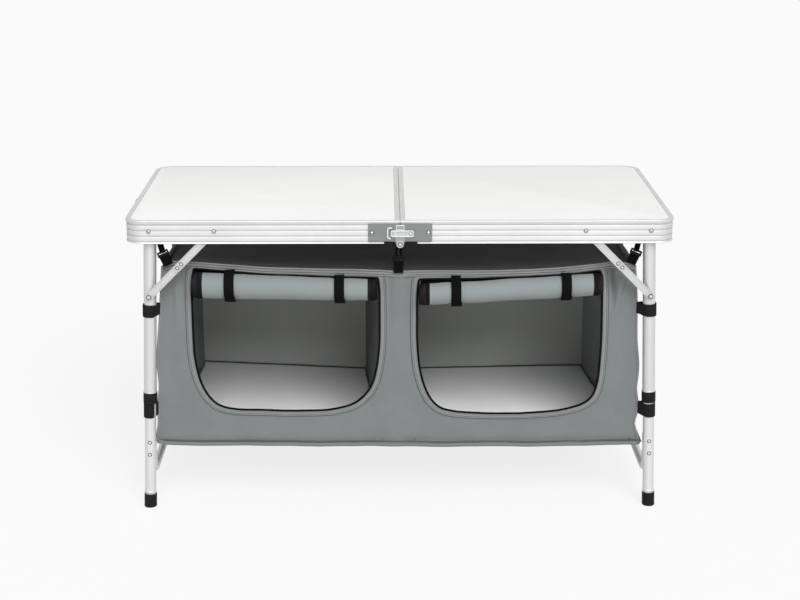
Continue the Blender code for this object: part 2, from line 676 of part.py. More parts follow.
# braces: flat links in two layers between the wall and the leg

def brace_geometry():
    """Pivot on the frame, pivot on the leg and the knee midway, on the right side, at rest."""
    top = (BRACE_PIVOT_X, PIVOT_Z)
    foot = (LEG_PIVOT_X + BRACE_ON_LEG * math.sin(LEG_SPLAY), PIVOT_Z - BRACE_ON_LEG * math.cos(LEG_SPLAY))
    knee = ((top[0] + foot[0]) / 2, (top[1] + foot[1]) / 2)
    return top, foot, knee


def bore_link(link, face, outer, carrier):
    """The hole at a link's origin, for the rivet that it turns on."""
    hole = bmesh.new()
    bore = RIVET_RADIUS + CLEARANCE
    ends = [(outer + LINK_THICKNESS, bore), (outer - LINK_THICKNESS * 2, bore)]
    add_stepped_rod(hole, 0.0, 0.0, face, ends)
    combine(link, mesh_object(f"{link.name}_bore", hole, None, carrier), "DIFFERENCE")


def build_upper_link(side, label, face, finish, carrier):
    """The link on the frame, with the knee rivet and the stop rivet beyond it."""
    top, foot, knee = brace_geometry()
    run = Vector((foot[0] - top[0], foot[1] - top[1])).normalized()
    knee_at = Vector((knee[0] - top[0], knee[1] - top[1]))
    stop_at = knee_at + run * STOP_RIVET_OFFSET
    outer = HALF_DEPTH - UPPER_LINK_INSET
    inner = outer - LINK_THICKNESS
    bm = bmesh.new()
    outline = [(side * x, z) for x, z in stadium((0.0, 0.0), tuple(stop_at), LINK_WIDTH)]
    add_plate(bm, outline, face * outer, face * inner)
    link = mesh_object(f"{label}_{WHERE[face]}_brace_upper", bm, finish, carrier)
    tail = HALF_DEPTH - LOWER_LINK_INSET + CLEARANCE
    blunt = SMALL_RIVET_RADIUS * DOME_SHOULDER
    stations = [(outer + LINK_HEAD_HEIGHT, blunt), (outer, SMALL_RIVET_RADIUS),
                (inner - SHOULDER_STEP, SMALL_RIVET_RADIUS), (tail, blunt)]
    rivets = bmesh.new()
    for at in (knee_at, stop_at):
        add_stepped_rod(rivets, side * at[0], at[1], face, stations, SMALL_SEGMENTS)
    combine(link, mesh_object(f"{link.name}_rivets", rivets, finish, carrier), "UNION")
    bore_link(link, face, outer, carrier)
    return link


def build_lower_link(side, label, face, finish, carrier):
    """The link on the leg, which ends at the knee."""
    top, foot, knee = brace_geometry()
    knee_at = (side * (knee[0] - foot[0]), knee[1] - foot[1])
    outer = HALF_DEPTH - LOWER_LINK_INSET
    bm = bmesh.new()
    add_plate(bm, stadium((0.0, 0.0), knee_at, LINK_WIDTH), face * outer, face * (outer - LINK_THICKNESS))
    link = mesh_object(f"{label}_{WHERE[face]}_brace_lower", bm, finish, carrier)
    bore_link(link, face, outer, carrier)
    return link


# bag: a thin shell for each half, open at the front, and the soft pieces round it

def bag_top(share):
    """Height of the bag's top edge: lowest at the middle, highest at the outer corner."""
    return BAG_TOP_MIDDLE + (BAG_TOP_CORNER - BAG_TOP_MIDDLE) * share ** 2


def bag_half_length(z):
    """How far out the side wall stands at a height."""
    share = (BAG_TOP_CORNER - z) / (BAG_TOP_CORNER - BAG_BOTTOM)
    return BAG_TOP_HALF_LENGTH + BAG_FLARE * share


def add_bag_block(bm, side, wall, floor):
    rings = []
    depth = BAG_HALF_DEPTH - wall
    for station in range(BAG_STATIONS):
        share = station / (BAG_STATIONS - 1)
        z_top = bag_top(share) - wall
        z_low = BAG_BOTTOM + floor
        start = BAG_MIDDLE_GAP + wall
        x_top = start + (bag_half_length(z_top) - wall - start) * share
        x_low = start + (bag_half_length(z_low) - wall - start) * share
        rings.append([(side * x_low, -depth, z_low), (side * x_low, depth, z_low),
                      (side * x_top, depth, z_top), (side * x_top, -depth, z_top)])
    loft(bm, rings)


def opening_outline(side):
    low = OPENING_LOWER_RADIUS
    high = OPENING_UPPER_RADIUS
    points = arc((OPENING_OUTER_X - high, OPENING_TOP - high), high, 0, 90, 3)
    points += arc((OPENING_INNER_X + high, OPENING_TOP - high), high, 90, 180, 3)
    points += arc((OPENING_INNER_X + low, OPENING_BOTTOM + low), low, 180, 270, 6)
    points += arc((OPENING_OUTER_X - low, OPENING_BOTTOM + low), low, 270, 360, 6)
    return [(side * x, z) for x, z in points]


def build_bag(side, label, finish):
    bm = bmesh.new()
    add_bag_block(bm, side, 0.0, 0.0)
    bag = mesh_object(f"{label}_bag", bm, finish)
    hollow = bmesh.new()
    add_bag_block(hollow, side, BAG_WALL, BAG_FLOOR)
    combine(bag, mesh_object(f"{label}_bag_hollow", hollow, None), "DIFFERENCE")
    mouth = bmesh.new()
    add_plate(mouth, opening_outline(side), -BAG_HALF_DEPTH - OVERCUT, -BAG_HALF_DEPTH + OVERCUT)
    combine(bag, mesh_object(f"{label}_bag_mouth", mouth, None), "DIFFERENCE")
    return bag


def roll_centre():
    """(y, z) of a rolled door: level with the opening's upper edge, its straps just touching the edge."""
    reach = ROLL_RADIUS + CLEARANCE * 2 + WEBBING_THICKNESS
    return -BAG_HALF_DEPTH - math.sqrt(reach ** 2 - ROLL_RADIUS ** 2), OPENING_TOP - ROLL_RADIUS


def build_roll(side, label, finish):
    y, z = roll_centre()
    bm = bmesh.new()
    radii = [(share, ROLL_RADIUS * fullness) for share, fullness in ROLL_END_SHARES]
    add_rod(bm, (side * ROLL_START_X, y, z), (side * ROLL_END_X, y, z), radii, ROUND_SEGMENTS)
    return mesh_object(f"{label}_door_roll", bm, finish)


def build_roll_strap(side, label, index, finish):
    """A flat webbing band round the roll."""
    y, z = roll_centre()
    inner = ROLL_RADIUS + CLEARANCE
    outer = inner + WEBBING_THICKNESS
    middle = side * (ROLL_START_X + (ROLL_END_X - ROLL_START_X) * ROLL_STRAP_SHARES[index])
    rings = []
    for radius, x in ((inner, -WEBBING_WIDTH / 2), (outer, -WEBBING_WIDTH / 2),
                      (outer, WEBBING_WIDTH / 2), (inner, WEBBING_WIDTH / 2)):
        rings.append([(middle + x, y + b, z + c) for b, c in circle(radius)])
    bm = bmesh.new()
    loft(bm, rings, closed=True)
    return mesh_object(f"{label}_roll_strap_{index + 1}", bm, finish)


def build_hanger(name, face, top, top_x, bottom_x, finish):
    """Webbing with a buckle, from the table top's underside to the bag's upper edge."""
    web = WEBBING_WIDTH / 2
    bottom = bag_top(min((abs(bottom_x) + web) / BAG_TOP_HALF_LENGTH, 1.0)) + CLEARANCE * 2
    middle = (top + bottom) / 2
    half = BUCKLE_HEIGHT / 2
    clip = BUCKLE_WIDTH / 2
    slim = BUCKLE_THICKNESS * BUCKLE_TAPER
    levels = [(top, web, WEBBING_THICKNESS), (middle + half, web, WEBBING_THICKNESS),
              (middle + half - BUCKLE_SHOULDER, clip, slim), (middle + half / 2, clip, BUCKLE_THICKNESS),
              (middle - half / 2, clip, BUCKLE_THICKNESS),
              (middle - half + BUCKLE_SHOULDER, clip * BUCKLE_TAPER, slim),
              (middle - half, web, WEBBING_THICKNESS), (bottom, web, WEBBING_THICKNESS)]
    rings = []
    for z, half_width, thickness in levels:
        x = bottom_x + (top_x - bottom_x) * (z - bottom) / (top - bottom)
        y = face * HANGER_Y
        t = thickness / 2
        rings.append([(x - half_width, y - t, z), (x + half_width, y - t, z),
                      (x + half_width, y + t, z), (x - half_width, y + t, z)])
    bm = bmesh.new()
    loft(bm, rings)
    return mesh_object(name, bm, finish)


def loop_places():
    """(local z, width, tube radius) of the lower and the upper loop on a leg."""
    lower = COLLAR_BOTTOM - CLEARANCE - LOWER_LOOP_WIDTH / 2
    upper = along_leg(TOP_HEIGHT - UPPER_LOOP_DROP)
    return (lower, LOWER_LOOP_WIDTH, LOWER_RADIUS), (upper, UPPER_LOOP_WIDTH, UPPER_RADIUS)


def build_leg_loop(side, label, face, index, finish, carrier):
    """A webbing loop round the leg, with a flap that lies against the bag's edge."""
    z, width, tube = loop_places()[index]
    half = width / 2
    inner = tube + CLEARANCE
    outer = inner + LOOP_THICKNESS
    bm = bmesh.new()
    profile = [(inner, z + half), (outer, z + half), (outer, z - half), (inner, z - half)]
    add_turned(bm, profile, (0.0, face * LEG_Y))
    loop = mesh_object(f"{label}_{WHERE[face]}_leg_loop_{index + 1}", bm, finish, carrier)
    leg_x = LEG_PIVOT_X - math.sin(LEG_SPLAY) * z
    height = PIVOT_Z + z * math.cos(LEG_SPLAY)
    reach = leg_x - bag_half_length(height) + LOOP_FLAP_OVERLAP
    near = BAG_HALF_DEPTH + CLEARANCE
    far = max(LEG_Y - inner - CLEARANCE / 2, near + EDGE_BEVEL)
    root = side * EDGE_BEVEL
    tip = half * LOOP_FLAP_TAPER
    corners = [(-root, z + half - EDGE_BEVEL), (-root, z - half + EDGE_BEVEL), (-side * reach, z - tip),
               (-side * reach, z + tip)]
    flap = bmesh.new()
    add_plate(flap, corners, face * near, face * far)
    combine(loop, mesh_object(f"{loop.name}_flap", flap, finish, carrier), "UNION")
    return loop


def build_table():
    white = material("painted aluminium, white", (0.84, 0.84, 0.83), 0.35, 0.35)
    laminate = material("white laminate", (0.88, 0.88, 0.87), 0.4, 0.0)
    steel = material("zinc plated steel", (0.42, 0.43, 0.43), 0.38, 0.9)
    moulded = material("grey moulded plastic", (0.36, 0.36, 0.36), 0.5, 0.0)
    black = material("black plastic", (0.025, 0.025, 0.025), 0.45, 0.0)
    cloth = material("grey woven polyester", (0.22, 0.24, 0.24), 0.85, 0.0)
    webbing = material("black webbing", (0.012, 0.012, 0.012), 0.8, 0.0)

    for side, label in ((-1, "left"), (1, "right")):
        build_frame(side, label, white)
        build_panel(side, label, laminate)
        build_handle(side, label, moulded)
        build_bag(side, label, cloth)
        build_roll(side, label, cloth)
        for index in range(len(ROLL_STRAP_SHARES)):
            build_roll_strap(side, label, index, webbing)
        top, foot, knee = brace_geometry()
        leg_turn = pivot(f"{label}_leg_pivot", (side * LEG_PIVOT_X, 0.0, PIVOT_Z), -side * LEG_SPLAY)
        upper_turn = pivot(f"{label}_brace_upper_pivot", (side * top[0], 0.0, top[1]))
        lower_turn = pivot(f"{label}_brace_lower_pivot", (side * foot[0], 0.0, foot[1]))
        build_cross_bar(label, white, leg_turn)
        hanger_top = side * (BAG_TOP_HALF_LENGTH + HANGER_TOP_OFFSET)
        hanger_bottom = side * (BAG_TOP_HALF_LENGTH + HANGER_BOTTOM_OFFSET)
        for face, where in WHERE.items():
            build_leaf(side, label, face, steel)
            build_upper_leg(label, face, white, leg_turn)
            build_collar(label, face, black, leg_turn)
            build_lower_leg(label, face, white, leg_turn)
            build_foot(side, label, face, black, leg_turn)
            build_upper_link(side, label, face, white, upper_turn)
            build_lower_link(side, label, face, white, lower_turn)
            below_panel = PANEL_BOTTOM - CLEARANCE
            build_hanger(f"{label}_{where}_hanger", face, below_panel, hanger_top, hanger_bottom, webbing)
            for index in range(len(loop_places())):
                build_leg_loop(side, label, face, index, webbing, leg_turn)
    for face, where in WHERE.items():
        build_latch(face, steel)
        below_seam = TOP_HEIGHT - FRAME_HEIGHT - CLEARANCE
        build_hanger(f"centre_{where}_hanger", face, below_seam, 0.0, 0.0, webbing)


clear_scene()
build_table()
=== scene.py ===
import math

import bmesh
import bpy
from mathutils import Matrix, Vector, noise


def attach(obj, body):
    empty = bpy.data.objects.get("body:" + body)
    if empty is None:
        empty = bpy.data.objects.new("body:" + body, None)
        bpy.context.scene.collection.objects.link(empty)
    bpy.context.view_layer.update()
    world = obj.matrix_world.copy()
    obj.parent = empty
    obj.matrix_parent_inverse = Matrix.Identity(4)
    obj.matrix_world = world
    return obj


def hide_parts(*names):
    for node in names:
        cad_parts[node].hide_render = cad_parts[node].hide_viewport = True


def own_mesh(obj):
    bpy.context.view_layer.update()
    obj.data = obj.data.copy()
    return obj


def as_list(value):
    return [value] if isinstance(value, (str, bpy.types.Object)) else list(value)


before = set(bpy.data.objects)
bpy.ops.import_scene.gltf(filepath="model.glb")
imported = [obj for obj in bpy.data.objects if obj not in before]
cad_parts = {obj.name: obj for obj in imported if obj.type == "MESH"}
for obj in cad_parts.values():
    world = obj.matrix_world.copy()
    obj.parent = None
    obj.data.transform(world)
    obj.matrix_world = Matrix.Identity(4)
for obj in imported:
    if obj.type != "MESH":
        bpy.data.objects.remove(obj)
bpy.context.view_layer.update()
scene = bpy.context.scene


# The camera stands 3.9 m in front of the table and 1.5 m up, and looks 16 degrees down through a long lens.
# The floor and the sky are plain and pale. A broad soft key shines from high in front, a little from the
# right, and a weak fill stands low behind the camera.
class Socket:
    """A node's output. Arithmetic on it adds Math nodes, and node() adds any other node beside it."""

    def __init__(self, tree, output):
        self.tree = tree
        self.output = output

    def node(self, kind, settings, inputs, output=0):
        made = self.tree.nodes.new(f"ShaderNode{kind}")
        for name, value in settings.items():
            if name == "stops":
                points = made.color_ramp.elements
                while len(points) < len(value):
                    points.new(0.5)
                for point, (position, grey) in zip(points, value):
                    point.position = position
                    point.color = (grey, grey, grey, 1)
            else:
                setattr(made, name, value)
        for name, value in inputs.items():
            if isinstance(value, Socket):
                self.tree.links.new(value.output, made.inputs[name])
            elif made.inputs[name].type == "RGBA":
                made.inputs[name].default_value = (*value, 1)
            else:
                made.inputs[name].default_value = value
        return Socket(self.tree, made.outputs[output])

    def math(self, operation, *others):
        return self.node("Math", {"operation": operation}, dict(enumerate((self, *others))))

    def __add__(self, other):
        return self.math("ADD", other)

    def __sub__(self, other):
        return self.math("SUBTRACT", other)

    def __rsub__(self, other):
        return self * -1 + other

    def __mul__(self, other):
        return self.math("MULTIPLY", other)

    def __abs__(self):
        return self.math("ABSOLUTE")

    __radd__ = __add__
    __rmul__ = __mul__

    def tint(self, low, high):
        """The colour that runs from low to high as this value runs from 0 to 1."""
        return self.node("Mix", {"data_type": "RGBA"}, {0: self, 6: low, 7: high}, 2)

    def ramp(self, *stops):
        """This value through a ramp of (position, grey) stops."""
        return self.node("ValToRGB", {"stops": stops}, {0: self})


def seen_directly(tree):
    """1 for what the camera, a mirror or glass sees, and 0 for what lights a surface."""
    rays = tree.nodes.new("ShaderNodeLightPath").outputs
    camera_ray, glossy, transmission = (Socket(tree, rays[f"Is {kind} Ray"]) for kind in (
        "Camera", "Glossy", "Transmission"))
    return camera_ray.math("MAXIMUM", glossy).math("MAXIMUM", transmission)


def add_object(name, data):
    made = bpy.data.objects.new(name, data)
    scene.collection.objects.link(made)
    return made


def aim(light, direction):
    light.rotation_euler = Vector(direction).to_track_quat("-Z", "Y").to_euler()


camera = add_object("camera", bpy.data.cameras.new("camera"))
camera.data.lens = 75.95
camera.data.sensor_width = 36
turn, look_down, tilt = -0.01026, 0.27888, 0.0008
camera.matrix_world = (Matrix.Translation((-0.0367, -3.8606, 1.5162)) @ Matrix.Rotation(turn, 4, "Z")
                       @ Matrix.Rotation(math.pi / 2 - look_down, 4, "X") @ Matrix.Rotation(tilt, 4, "Z"))
scene.camera = camera
scene.view_settings.view_transform = "Standard"

# What is seen of the sky and the floor is nearly white, and what lights the table from them is softer.
near_white = (0.966, 0.966, 0.962, 1)
sky_light = 0.30
world = bpy.data.worlds.new("pale sky")
scene.world = world
world.use_nodes = True
sky = world.node_tree.nodes["Background"]
sky.inputs["Color"].default_value = near_white
sky_strength = seen_directly(world.node_tree) * (1 - sky_light) + sky_light
world.node_tree.links.new(sky_strength.output, sky.inputs["Strength"])

floor_white = bpy.data.materials.new("pale floor")
floor_white.use_nodes = True
floor_tree = floor_white.node_tree
floor_shader = floor_tree.nodes["Principled BSDF"]
floor_shader.inputs["Base Color"].default_value = (0.86, 0.86, 0.86, 1)
floor_shader.inputs["Roughness"].default_value = 0.9
floor_shader.inputs["Specular IOR Level"].default_value = 0.0
glow = floor_tree.nodes.new("ShaderNodeEmission")
glow.inputs["Color"].default_value = near_white
glow_share = seen_directly(floor_tree) * 0.85
floor_mix = glow_share.node("MixShader", {}, {0: glow_share, 1: Socket(floor_tree, floor_shader.outputs[0]),
                                              2: Socket(floor_tree, glow.outputs[0])})
floor_tree.links.new(floor_mix.output, floor_tree.nodes["Material Output"].inputs["Surface"])
floor_mesh = bpy.data.meshes.new("floor")
floor_mesh.from_pydata([(-40, -40, 0), (40, -40, 0), (40, 40, 0), (-40, 40, 0)], [], [(0, 1, 2, 3)])
floor_mesh.materials.append(floor_white)
add_object("floor", floor_mesh)

key = add_object("high soft key", bpy.data.lights.new("high soft key", "SUN"))
key.data.energy = 3.45
key.data.angle = math.radians(40)
aim(key, (-0.24, 1.0, -0.93))
fill = add_object("low front fill", bpy.data.lights.new("low front fill", "AREA"))
fill.data.shape = "RECTANGLE"
fill.data.size = 4.0
fill.data.size_y = 1.4
fill.data.energy = 24
fill.location = (0.0, -4.8, 1.0)
aim(fill, Vector((0.0, 0.0, 0.35)) - fill.location)


# Each half of the top is framed by one aluminium extrusion, with a round bead, three convex flutes and a
# bottom lip. It is bent round the outer corners, joined behind the seam and coated satin white. The coat
# turns greyer in patches towards each half's rounded end, and it has fine scuffs all over.
SIDES = {"left": -1, "right": 1}
FACES = {"front": -1, "rear": 1}
top_z = 0.675
half_length = 0.600
half_depth = 0.300
corner_radius = 0.042
seam_half_gap = 0.0003
frame_height = 0.0515
rim_width = 0.0105


def new_finish(name):
    """A material, and the Socket of its place in metres that its patterns use."""
    made = bpy.data.materials.new(name)
    made.use_nodes = True
    place = made.node_tree.nodes.new("ShaderNodeTexCoord").outputs["Object"]
    return made, Socket(made.node_tree, place)


def dress(finish, values):
    """Set or link the sockets of the finish's own shader."""
    shader = finish.node_tree.nodes["Principled BSDF"]
    for name, value in values.items():
        if isinstance(value, Socket):
            finish.node_tree.links.new(value.output, shader.inputs[name])
        else:
            shader.inputs[name].default_value = value


def speckle(place, scale, detail=2.0, roughness=0.5, stretch=(1, 1, 1)):
    """Noise from about 0 to 1, with scale lumps per metre, drawn out along an axis by a small stretch."""
    spot = place.node("Mapping", {}, {"Vector": place, "Scale": stretch})
    return place.node("TexNoise", {}, {"Vector": spot, "Scale": scale, "Detail": detail,
                                       "Roughness": roughness})


def relief(height, depth, strength=1.0):
    """A Bump node whose height of 0 to 1 stands depth metres high."""
    return height.node("Bump", {}, {"Strength": strength, "Distance": depth, "Height": height})


def axes_of(place):
    """The x, y and z of a place, as three Sockets."""
    split = place.node("SeparateXYZ", {}, {0: place}).output.node
    return [Socket(place.tree, output) for output in split.outputs]


def arc(centre, radius, start, end, steps):
    """Points (across, up) on an arc, with its angles in degrees."""
    turns = (math.radians(start + (end - start) * i / steps) for i in range(steps + 1))
    return [(centre[0] + radius * math.cos(a), centre[1] + radius * math.sin(a)) for a in turns]


def add_skin(bm, rings, path_closed=False, capped=True):
    """Faces between rings of points, which are closed by a face at either end or joined into a loop."""
    rows = [[bm.verts.new(point) for point in ring] for ring in rings]
    pairs = list(zip(rows, rows[1:])) + ([(rows[-1], rows[0])] if path_closed else [])
    for one, two in pairs:
        for i in range(len(one)):
            j = (i + 1) % len(one)
            bm.faces.new((one[i], one[j], two[j], two[i]))
    if capped and not path_closed:
        bm.faces.new(rows[0])
        bm.faces.new(rows[-1])


def inset_outline(outline, amount):
    """A closed outline drawn in by an amount along its own normals."""
    count = len(outline)
    area = sum(outline[i - 1][0] * outline[i][1] - outline[i][0] * outline[i - 1][1] for i in range(count))
    inwards = 1 if area > 0 else -1
    moved = []
    for i in range(count):
        before, after = Vector(outline[i - 1]), Vector(outline[(i + 1) % count])
        run = (after - before).normalized()
        moved.append((outline[i][0] - run.y * amount * inwards, outline[i][1] + run.x * amount * inwards))
    return moved


def add_layers(bm, outline, face, layers):
    """A body built up from an upright outline by (inset, distance from the middle plane) layers."""
    add_skin(bm, [[(x, face * y, z) for x, z in inset_outline(outline, inset)] for inset, y in layers])


def piece(name, bm, finish, body, stands_for=(), crease=32):
    """An object from the bmesh, riding on its body, which hides the parts it stands for."""
    bmesh.ops.recalc_face_normals(bm, faces=bm.faces[:])
    mesh = bpy.data.meshes.new(name)
    bm.to_mesh(mesh)
    bm.free()
    mesh.materials.append(finish)
    mesh.shade_smooth()
    mesh.set_sharp_from_angle(angle=math.radians(crease))
    made = add_object(name, mesh)
    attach(made, body)
    if stands_for:
        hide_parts(*stands_for)
    return made


def half_plan(side, inset):
    """The half's outline in plan: square at the seam and round at its outer corners."""
    seam = seam_half_gap + inset
    x, y = half_length - corner_radius, half_depth - corner_radius
    radius = corner_radius - inset
    plan = [(seam, -half_depth + inset)] + arc((x, -y), radius, -90, 0, 14)
    plan += arc((x, y), radius, 0, 90, 14) + [(seam, half_depth - inset)]
    return [(side * a, b) for a, b in plan]


def slab(side, section):
    """Rings round the half's plan for a section of (inset, drop below the top) points."""
    return [[(x, y, top_z - drop) for x, y in half_plan(side, inset)] for inset, drop in section]


bead_radius, bead_height = 0.0013, 0.0100
flute_crest, groove = 0.0015, 0.0036
lip_height = 0.0045
lip_top = frame_height - lip_height
flute_height = (lip_top - bead_height) / 3
flute_shape = (
    (0.0, groove), (0.055, groove), (0.068, 0.0022), (0.10, 0.0018), (0.18, 0.0016), (0.32, 0.00152),
    (0.5, flute_crest), (0.68, 0.00152), (0.80, 0.0016), (0.88, 0.0018), (0.935, 0.0022), (0.96, 0.0028),
    (0.975, groove))
extrusion = [(rim_width, 0.0005), (rim_width - 0.0004, 0.0002), (rim_width * 0.62, 0.0)]
extrusion += [(bead_radius - x, bead_radius - z) for z, x in arc((0, 0), bead_radius, 0, 90, 6)]
extrusion += [(0.0, 0.0024), (0.0003, 0.0045), (0.0008, 0.0065), (0.0014, 0.0080), (0.0021, 0.0092)]
extrusion += [(0.0034, bead_height)]
for flute in range(3):
    extrusion += [(inset, bead_height + (flute + share) * flute_height) for share, inset in flute_shape]
extrusion += [(groove, lip_top), (0.0026, lip_top + 0.0002), (0.0019, lip_top + 0.0007)]
extrusion += [(0.0003, frame_height - 0.0013), (0.0005, frame_height - 0.0005), (0.0014, frame_height)]
extrusion += [(0.0038, frame_height), (0.0042, frame_height - 0.0004), (0.0042, 0.0082), (0.0138, 0.0082)]
extrusion += [(0.0138, 0.0070), (rim_width, 0.0070)]

white_coat, place = new_finish("satin white coat on aluminium")
orange_peel = speckle(place, 520, 3)
handling = speckle(place, 9, 5, 0.62)
scuffs = speckle(place, 60, 4, 0.7, (0.25, 1, 1)).ramp((0.60, 0), (0.72, 1))
x, y, z = axes_of(place)
# Towards each half's rounded end the coat turns greyer in patches.
end_greying = abs(x).ramp((0.575, 0), (0.60, 1)) * speckle(place, 40, 4).ramp((0.42, 0), (0.7, 1))
tone = handling.ramp((0.3, 0), (0.75, 1)).tint((0.550, 0.550, 0.552), (0.610, 0.610, 0.608))
greyed_and_scuffed = end_greying * 0.5 + scuffs * 0.12
dress(white_coat, {
    "Base Color": greyed_and_scuffed.tint(tone, (0.45, 0.45, 0.46)), "Metallic": 0.60,
    "Roughness": 0.52 + handling * 0.12 + scuffs * 0.1, "Coat Weight": 0.05, "Coat Roughness": 0.35,
    "Normal": relief(orange_peel + scuffs * 0.6, 0.000012)})

# Beside the seam the bottom lip is cut away at the front and rear, which leaves room for the hinge pins.
notch_reach = {"left": 0.0372, "right": 0.0400}
for label, side in SIDES.items():
    bm = bmesh.new()
    add_skin(bm, slab(side, extrusion), path_closed=True)
    ring = piece(f"{label}_fluted_frame", bm, white_coat, f"{label}_half", [f"{label}_frame"])
    notch = bmesh.new()
    reach = notch_reach[label]
    low, high = top_z - lip_top - 0.02, top_z - lip_top
    outline = [(side * x, z) for x, z in ((-0.01, low), (reach, low), (reach - 0.0024, high), (-0.01, high))]
    for face in FACES.values():
        add_layers(notch, outline, face, [(0.0, half_depth + 0.01), (0.0, half_depth - 0.02)])
    bmesh.ops.recalc_face_normals(notch, faces=notch.faces[:])
    cutter_mesh = bpy.data.meshes.new("seam notches")
    notch.to_mesh(cutter_mesh)
    notch.free()
    cutter = add_object("seam notches", cutter_mesh)
    cut = ring.modifiers.new("seam notches", "BOOLEAN")
    cut.operation = "DIFFERENCE"
    cut.object = cutter
    bpy.context.view_layer.update()
    cut_mesh = bpy.data.meshes.new_from_object(ring.evaluated_get(bpy.context.evaluated_depsgraph_get()))
    ring.modifiers.clear()
    ring.data = cut_mesh
    cut_mesh.set_sharp_from_angle(angle=math.radians(32))
    bpy.data.objects.remove(cutter)


# Pop rivets hold the legs and braces to the frame's front and rear walls, and two small ones close the
# frame's ends. Each is a zinc-plated dome on a flange, with the hole that its drawn-out pin has left. A flat
# ring of very dark zinc round each of the bigger ones is painted shade.
leg_pivot_x, brace_pivot_x = 0.546, 0.404
pivot_z = 0.6515


def grained_metal(name, scale, dark, light, metallic, roughness, roughening):
    """Zinc plate with a fine grain that changes its colour and its gloss."""
    made, place = new_finish(name)
    grain = speckle(place, scale, 3)
    dress(made, {"Base Color": grain.tint(dark, light), "Metallic": metallic,
                 "Roughness": roughness + grain * roughening, "Normal": relief(grain, 0.00001)})
    return made


rivet_steel = grained_metal("zinc plated rivet", 900, (0.52, 0.53, 0.54), (0.74, 0.75, 0.76),
                            0.80, 0.26, 0.16)
# Very dark zinc for the flat rings of painted shade round rivets and pins.
shade_ring_steel = grained_metal("dark ring of painted shade", 700, (0.050, 0.051, 0.053), (0.115, 0.117, 0.120),
                             0.35, 0.50, 0.2)
shade_ring_shape = ((0.3, -0.0004), (1.0, -0.0004), (1.0, 0.0003), (0.94, 0.0006), (0.3, 0.0006))
rivet_shape = ((1.0, 0.30), (0.90, 0.48), (0.72, 0.80), (0.50, 1.0), (0.36, 1.0), (0.30, 0.72), (0.26, 0.2))


def oval(wide, tall, count):
    """Points (across, up) on an oval of the given half width and half height."""
    return [(wide * math.cos(a), tall * math.sin(a)) for a in (2 * math.pi * i / count for i in range(count))]


def add_turned(bm, profile, base, axis, segments=24):
    """Rings of (radius, height) about an axis that starts at the base; it is closed at both ends."""
    turn = Vector(axis).to_track_quat("Z", "Y")
    add_skin(bm, [[Vector(base) + turn @ Vector((x, y, height)) for x, y in oval(radius, radius, segments)]
                  for radius, height in profile])


def add_rivet(bm, radius, height, base, axis, segments=24):
    """A flange, a dome and the pin's hole in it."""
    profile = [(radius * across, height * up) for across, up in rivet_shape]
    add_turned(bm, [(radius, -0.0004)] + profile, base, axis, segments)


# A flat ring of painted shade round a rivet, a stud or a pin.
def add_shade_ring(bm, radius, base, axis):
    add_turned(bm, [(radius * share, height) for share, height in shade_ring_shape], base, axis, 28)


for label, side in SIDES.items():
    # The leg and brace rivets sit on dark rings of painted shade.
    rivets = bmesh.new()
    shade_rings = bmesh.new()
    wall = half_depth - flute_crest - 0.0002
    end_wall = half_length - flute_crest - 0.0002
    for face in FACES.values():
        for x in (leg_pivot_x, brace_pivot_x):
            seat = (side * x, face * wall, pivot_z)
            add_rivet(rivets, 0.0036, 0.0026, seat, (0, face, 0))
            add_shade_ring(shade_rings, 0.0050, seat, (0, face, 0))
        for drop in (0.0212, 0.0335):
            add_rivet(rivets, 0.0026, 0.0012, (side * end_wall, face * 0.252, top_z - drop), (side, 0, 0), 16)
    piece(f"{label}_frame_rivets", rivets, rivet_steel, f"{label}_half")
    piece(f"{label}_frame_shade_rings", shade_rings, shade_ring_steel, f"{label}_half")


# Each half holds a board faced with white laminate, let in flush with the rim. The laminate has a fine
# pebbled emboss, is a little warmer than the frame, and shows faint wiped marks where gear has stood on it.
board_gap = rim_width + 0.0003
board_edge = [(board_gap, 0.0066), (board_gap, 0.0009), (board_gap + 0.00015, 0.0007),
              (board_gap + 0.0006, 0.0006)]
laminate, place = new_finish("white laminate")
pebble = place.node("TexVoronoi", {}, {"Vector": place, "Scale": 700.0})
wiped = speckle(place, 5, 5, 0.6, (1, 2.2, 1))
fine_marks = speckle(place, 120, 4, 0.65, (0.12, 1, 1)).ramp((0.62, 0), (0.70, 1))
marks = wiped.ramp((0.3, 0), (0.8, 1)) - fine_marks * 0.25
dress(laminate, {"Base Color": marks.tint((0.798, 0.798, 0.791), (0.842, 0.842, 0.835)),
                 "Specular IOR Level": 0.25, "Roughness": 0.36 + wiped * 0.16 - fine_marks * 0.06,
                 "Normal": relief(pebble, 0.00002, 0.6)})
for label, side in SIDES.items():
    bm = bmesh.new()
    add_skin(bm, slab(side, board_edge))
    piece(f"{label}_board", bm, laminate, f"{label}_half", [f"{label}_top_panel"])


# A strap handle is moulded in grey plastic and screwed to each end face by a flat foot at either end. Its
# grip bows away from the frame, is ribbed across, and has a raised edge along both sides.
grey_plastic, place = new_finish("grey moulded plastic")
mould = speckle(place, 380, 3)
dress(grey_plastic, {"Base Color": speckle(place, 30).tint((0.30, 0.30, 0.305), (0.36, 0.36, 0.362)),
                     "Roughness": 0.42 + mould * 0.18, "Normal": relief(mould, 0.00003)})
handle_half, grip_half, screw_y = 0.085, 0.063, 0.075
handle_z = top_z - 0.028
handle_bow, handle_thick, rib = 0.0118, 0.0040, 0.0007
handle_foot = [grip_half, 0.068, handle_half - 0.002, handle_half]
grip_stations = [grip_half * (i / 24 - 1) for i in range(1, 48)]
handle_stations = [-y for y in reversed(handle_foot)] + grip_stations + handle_foot


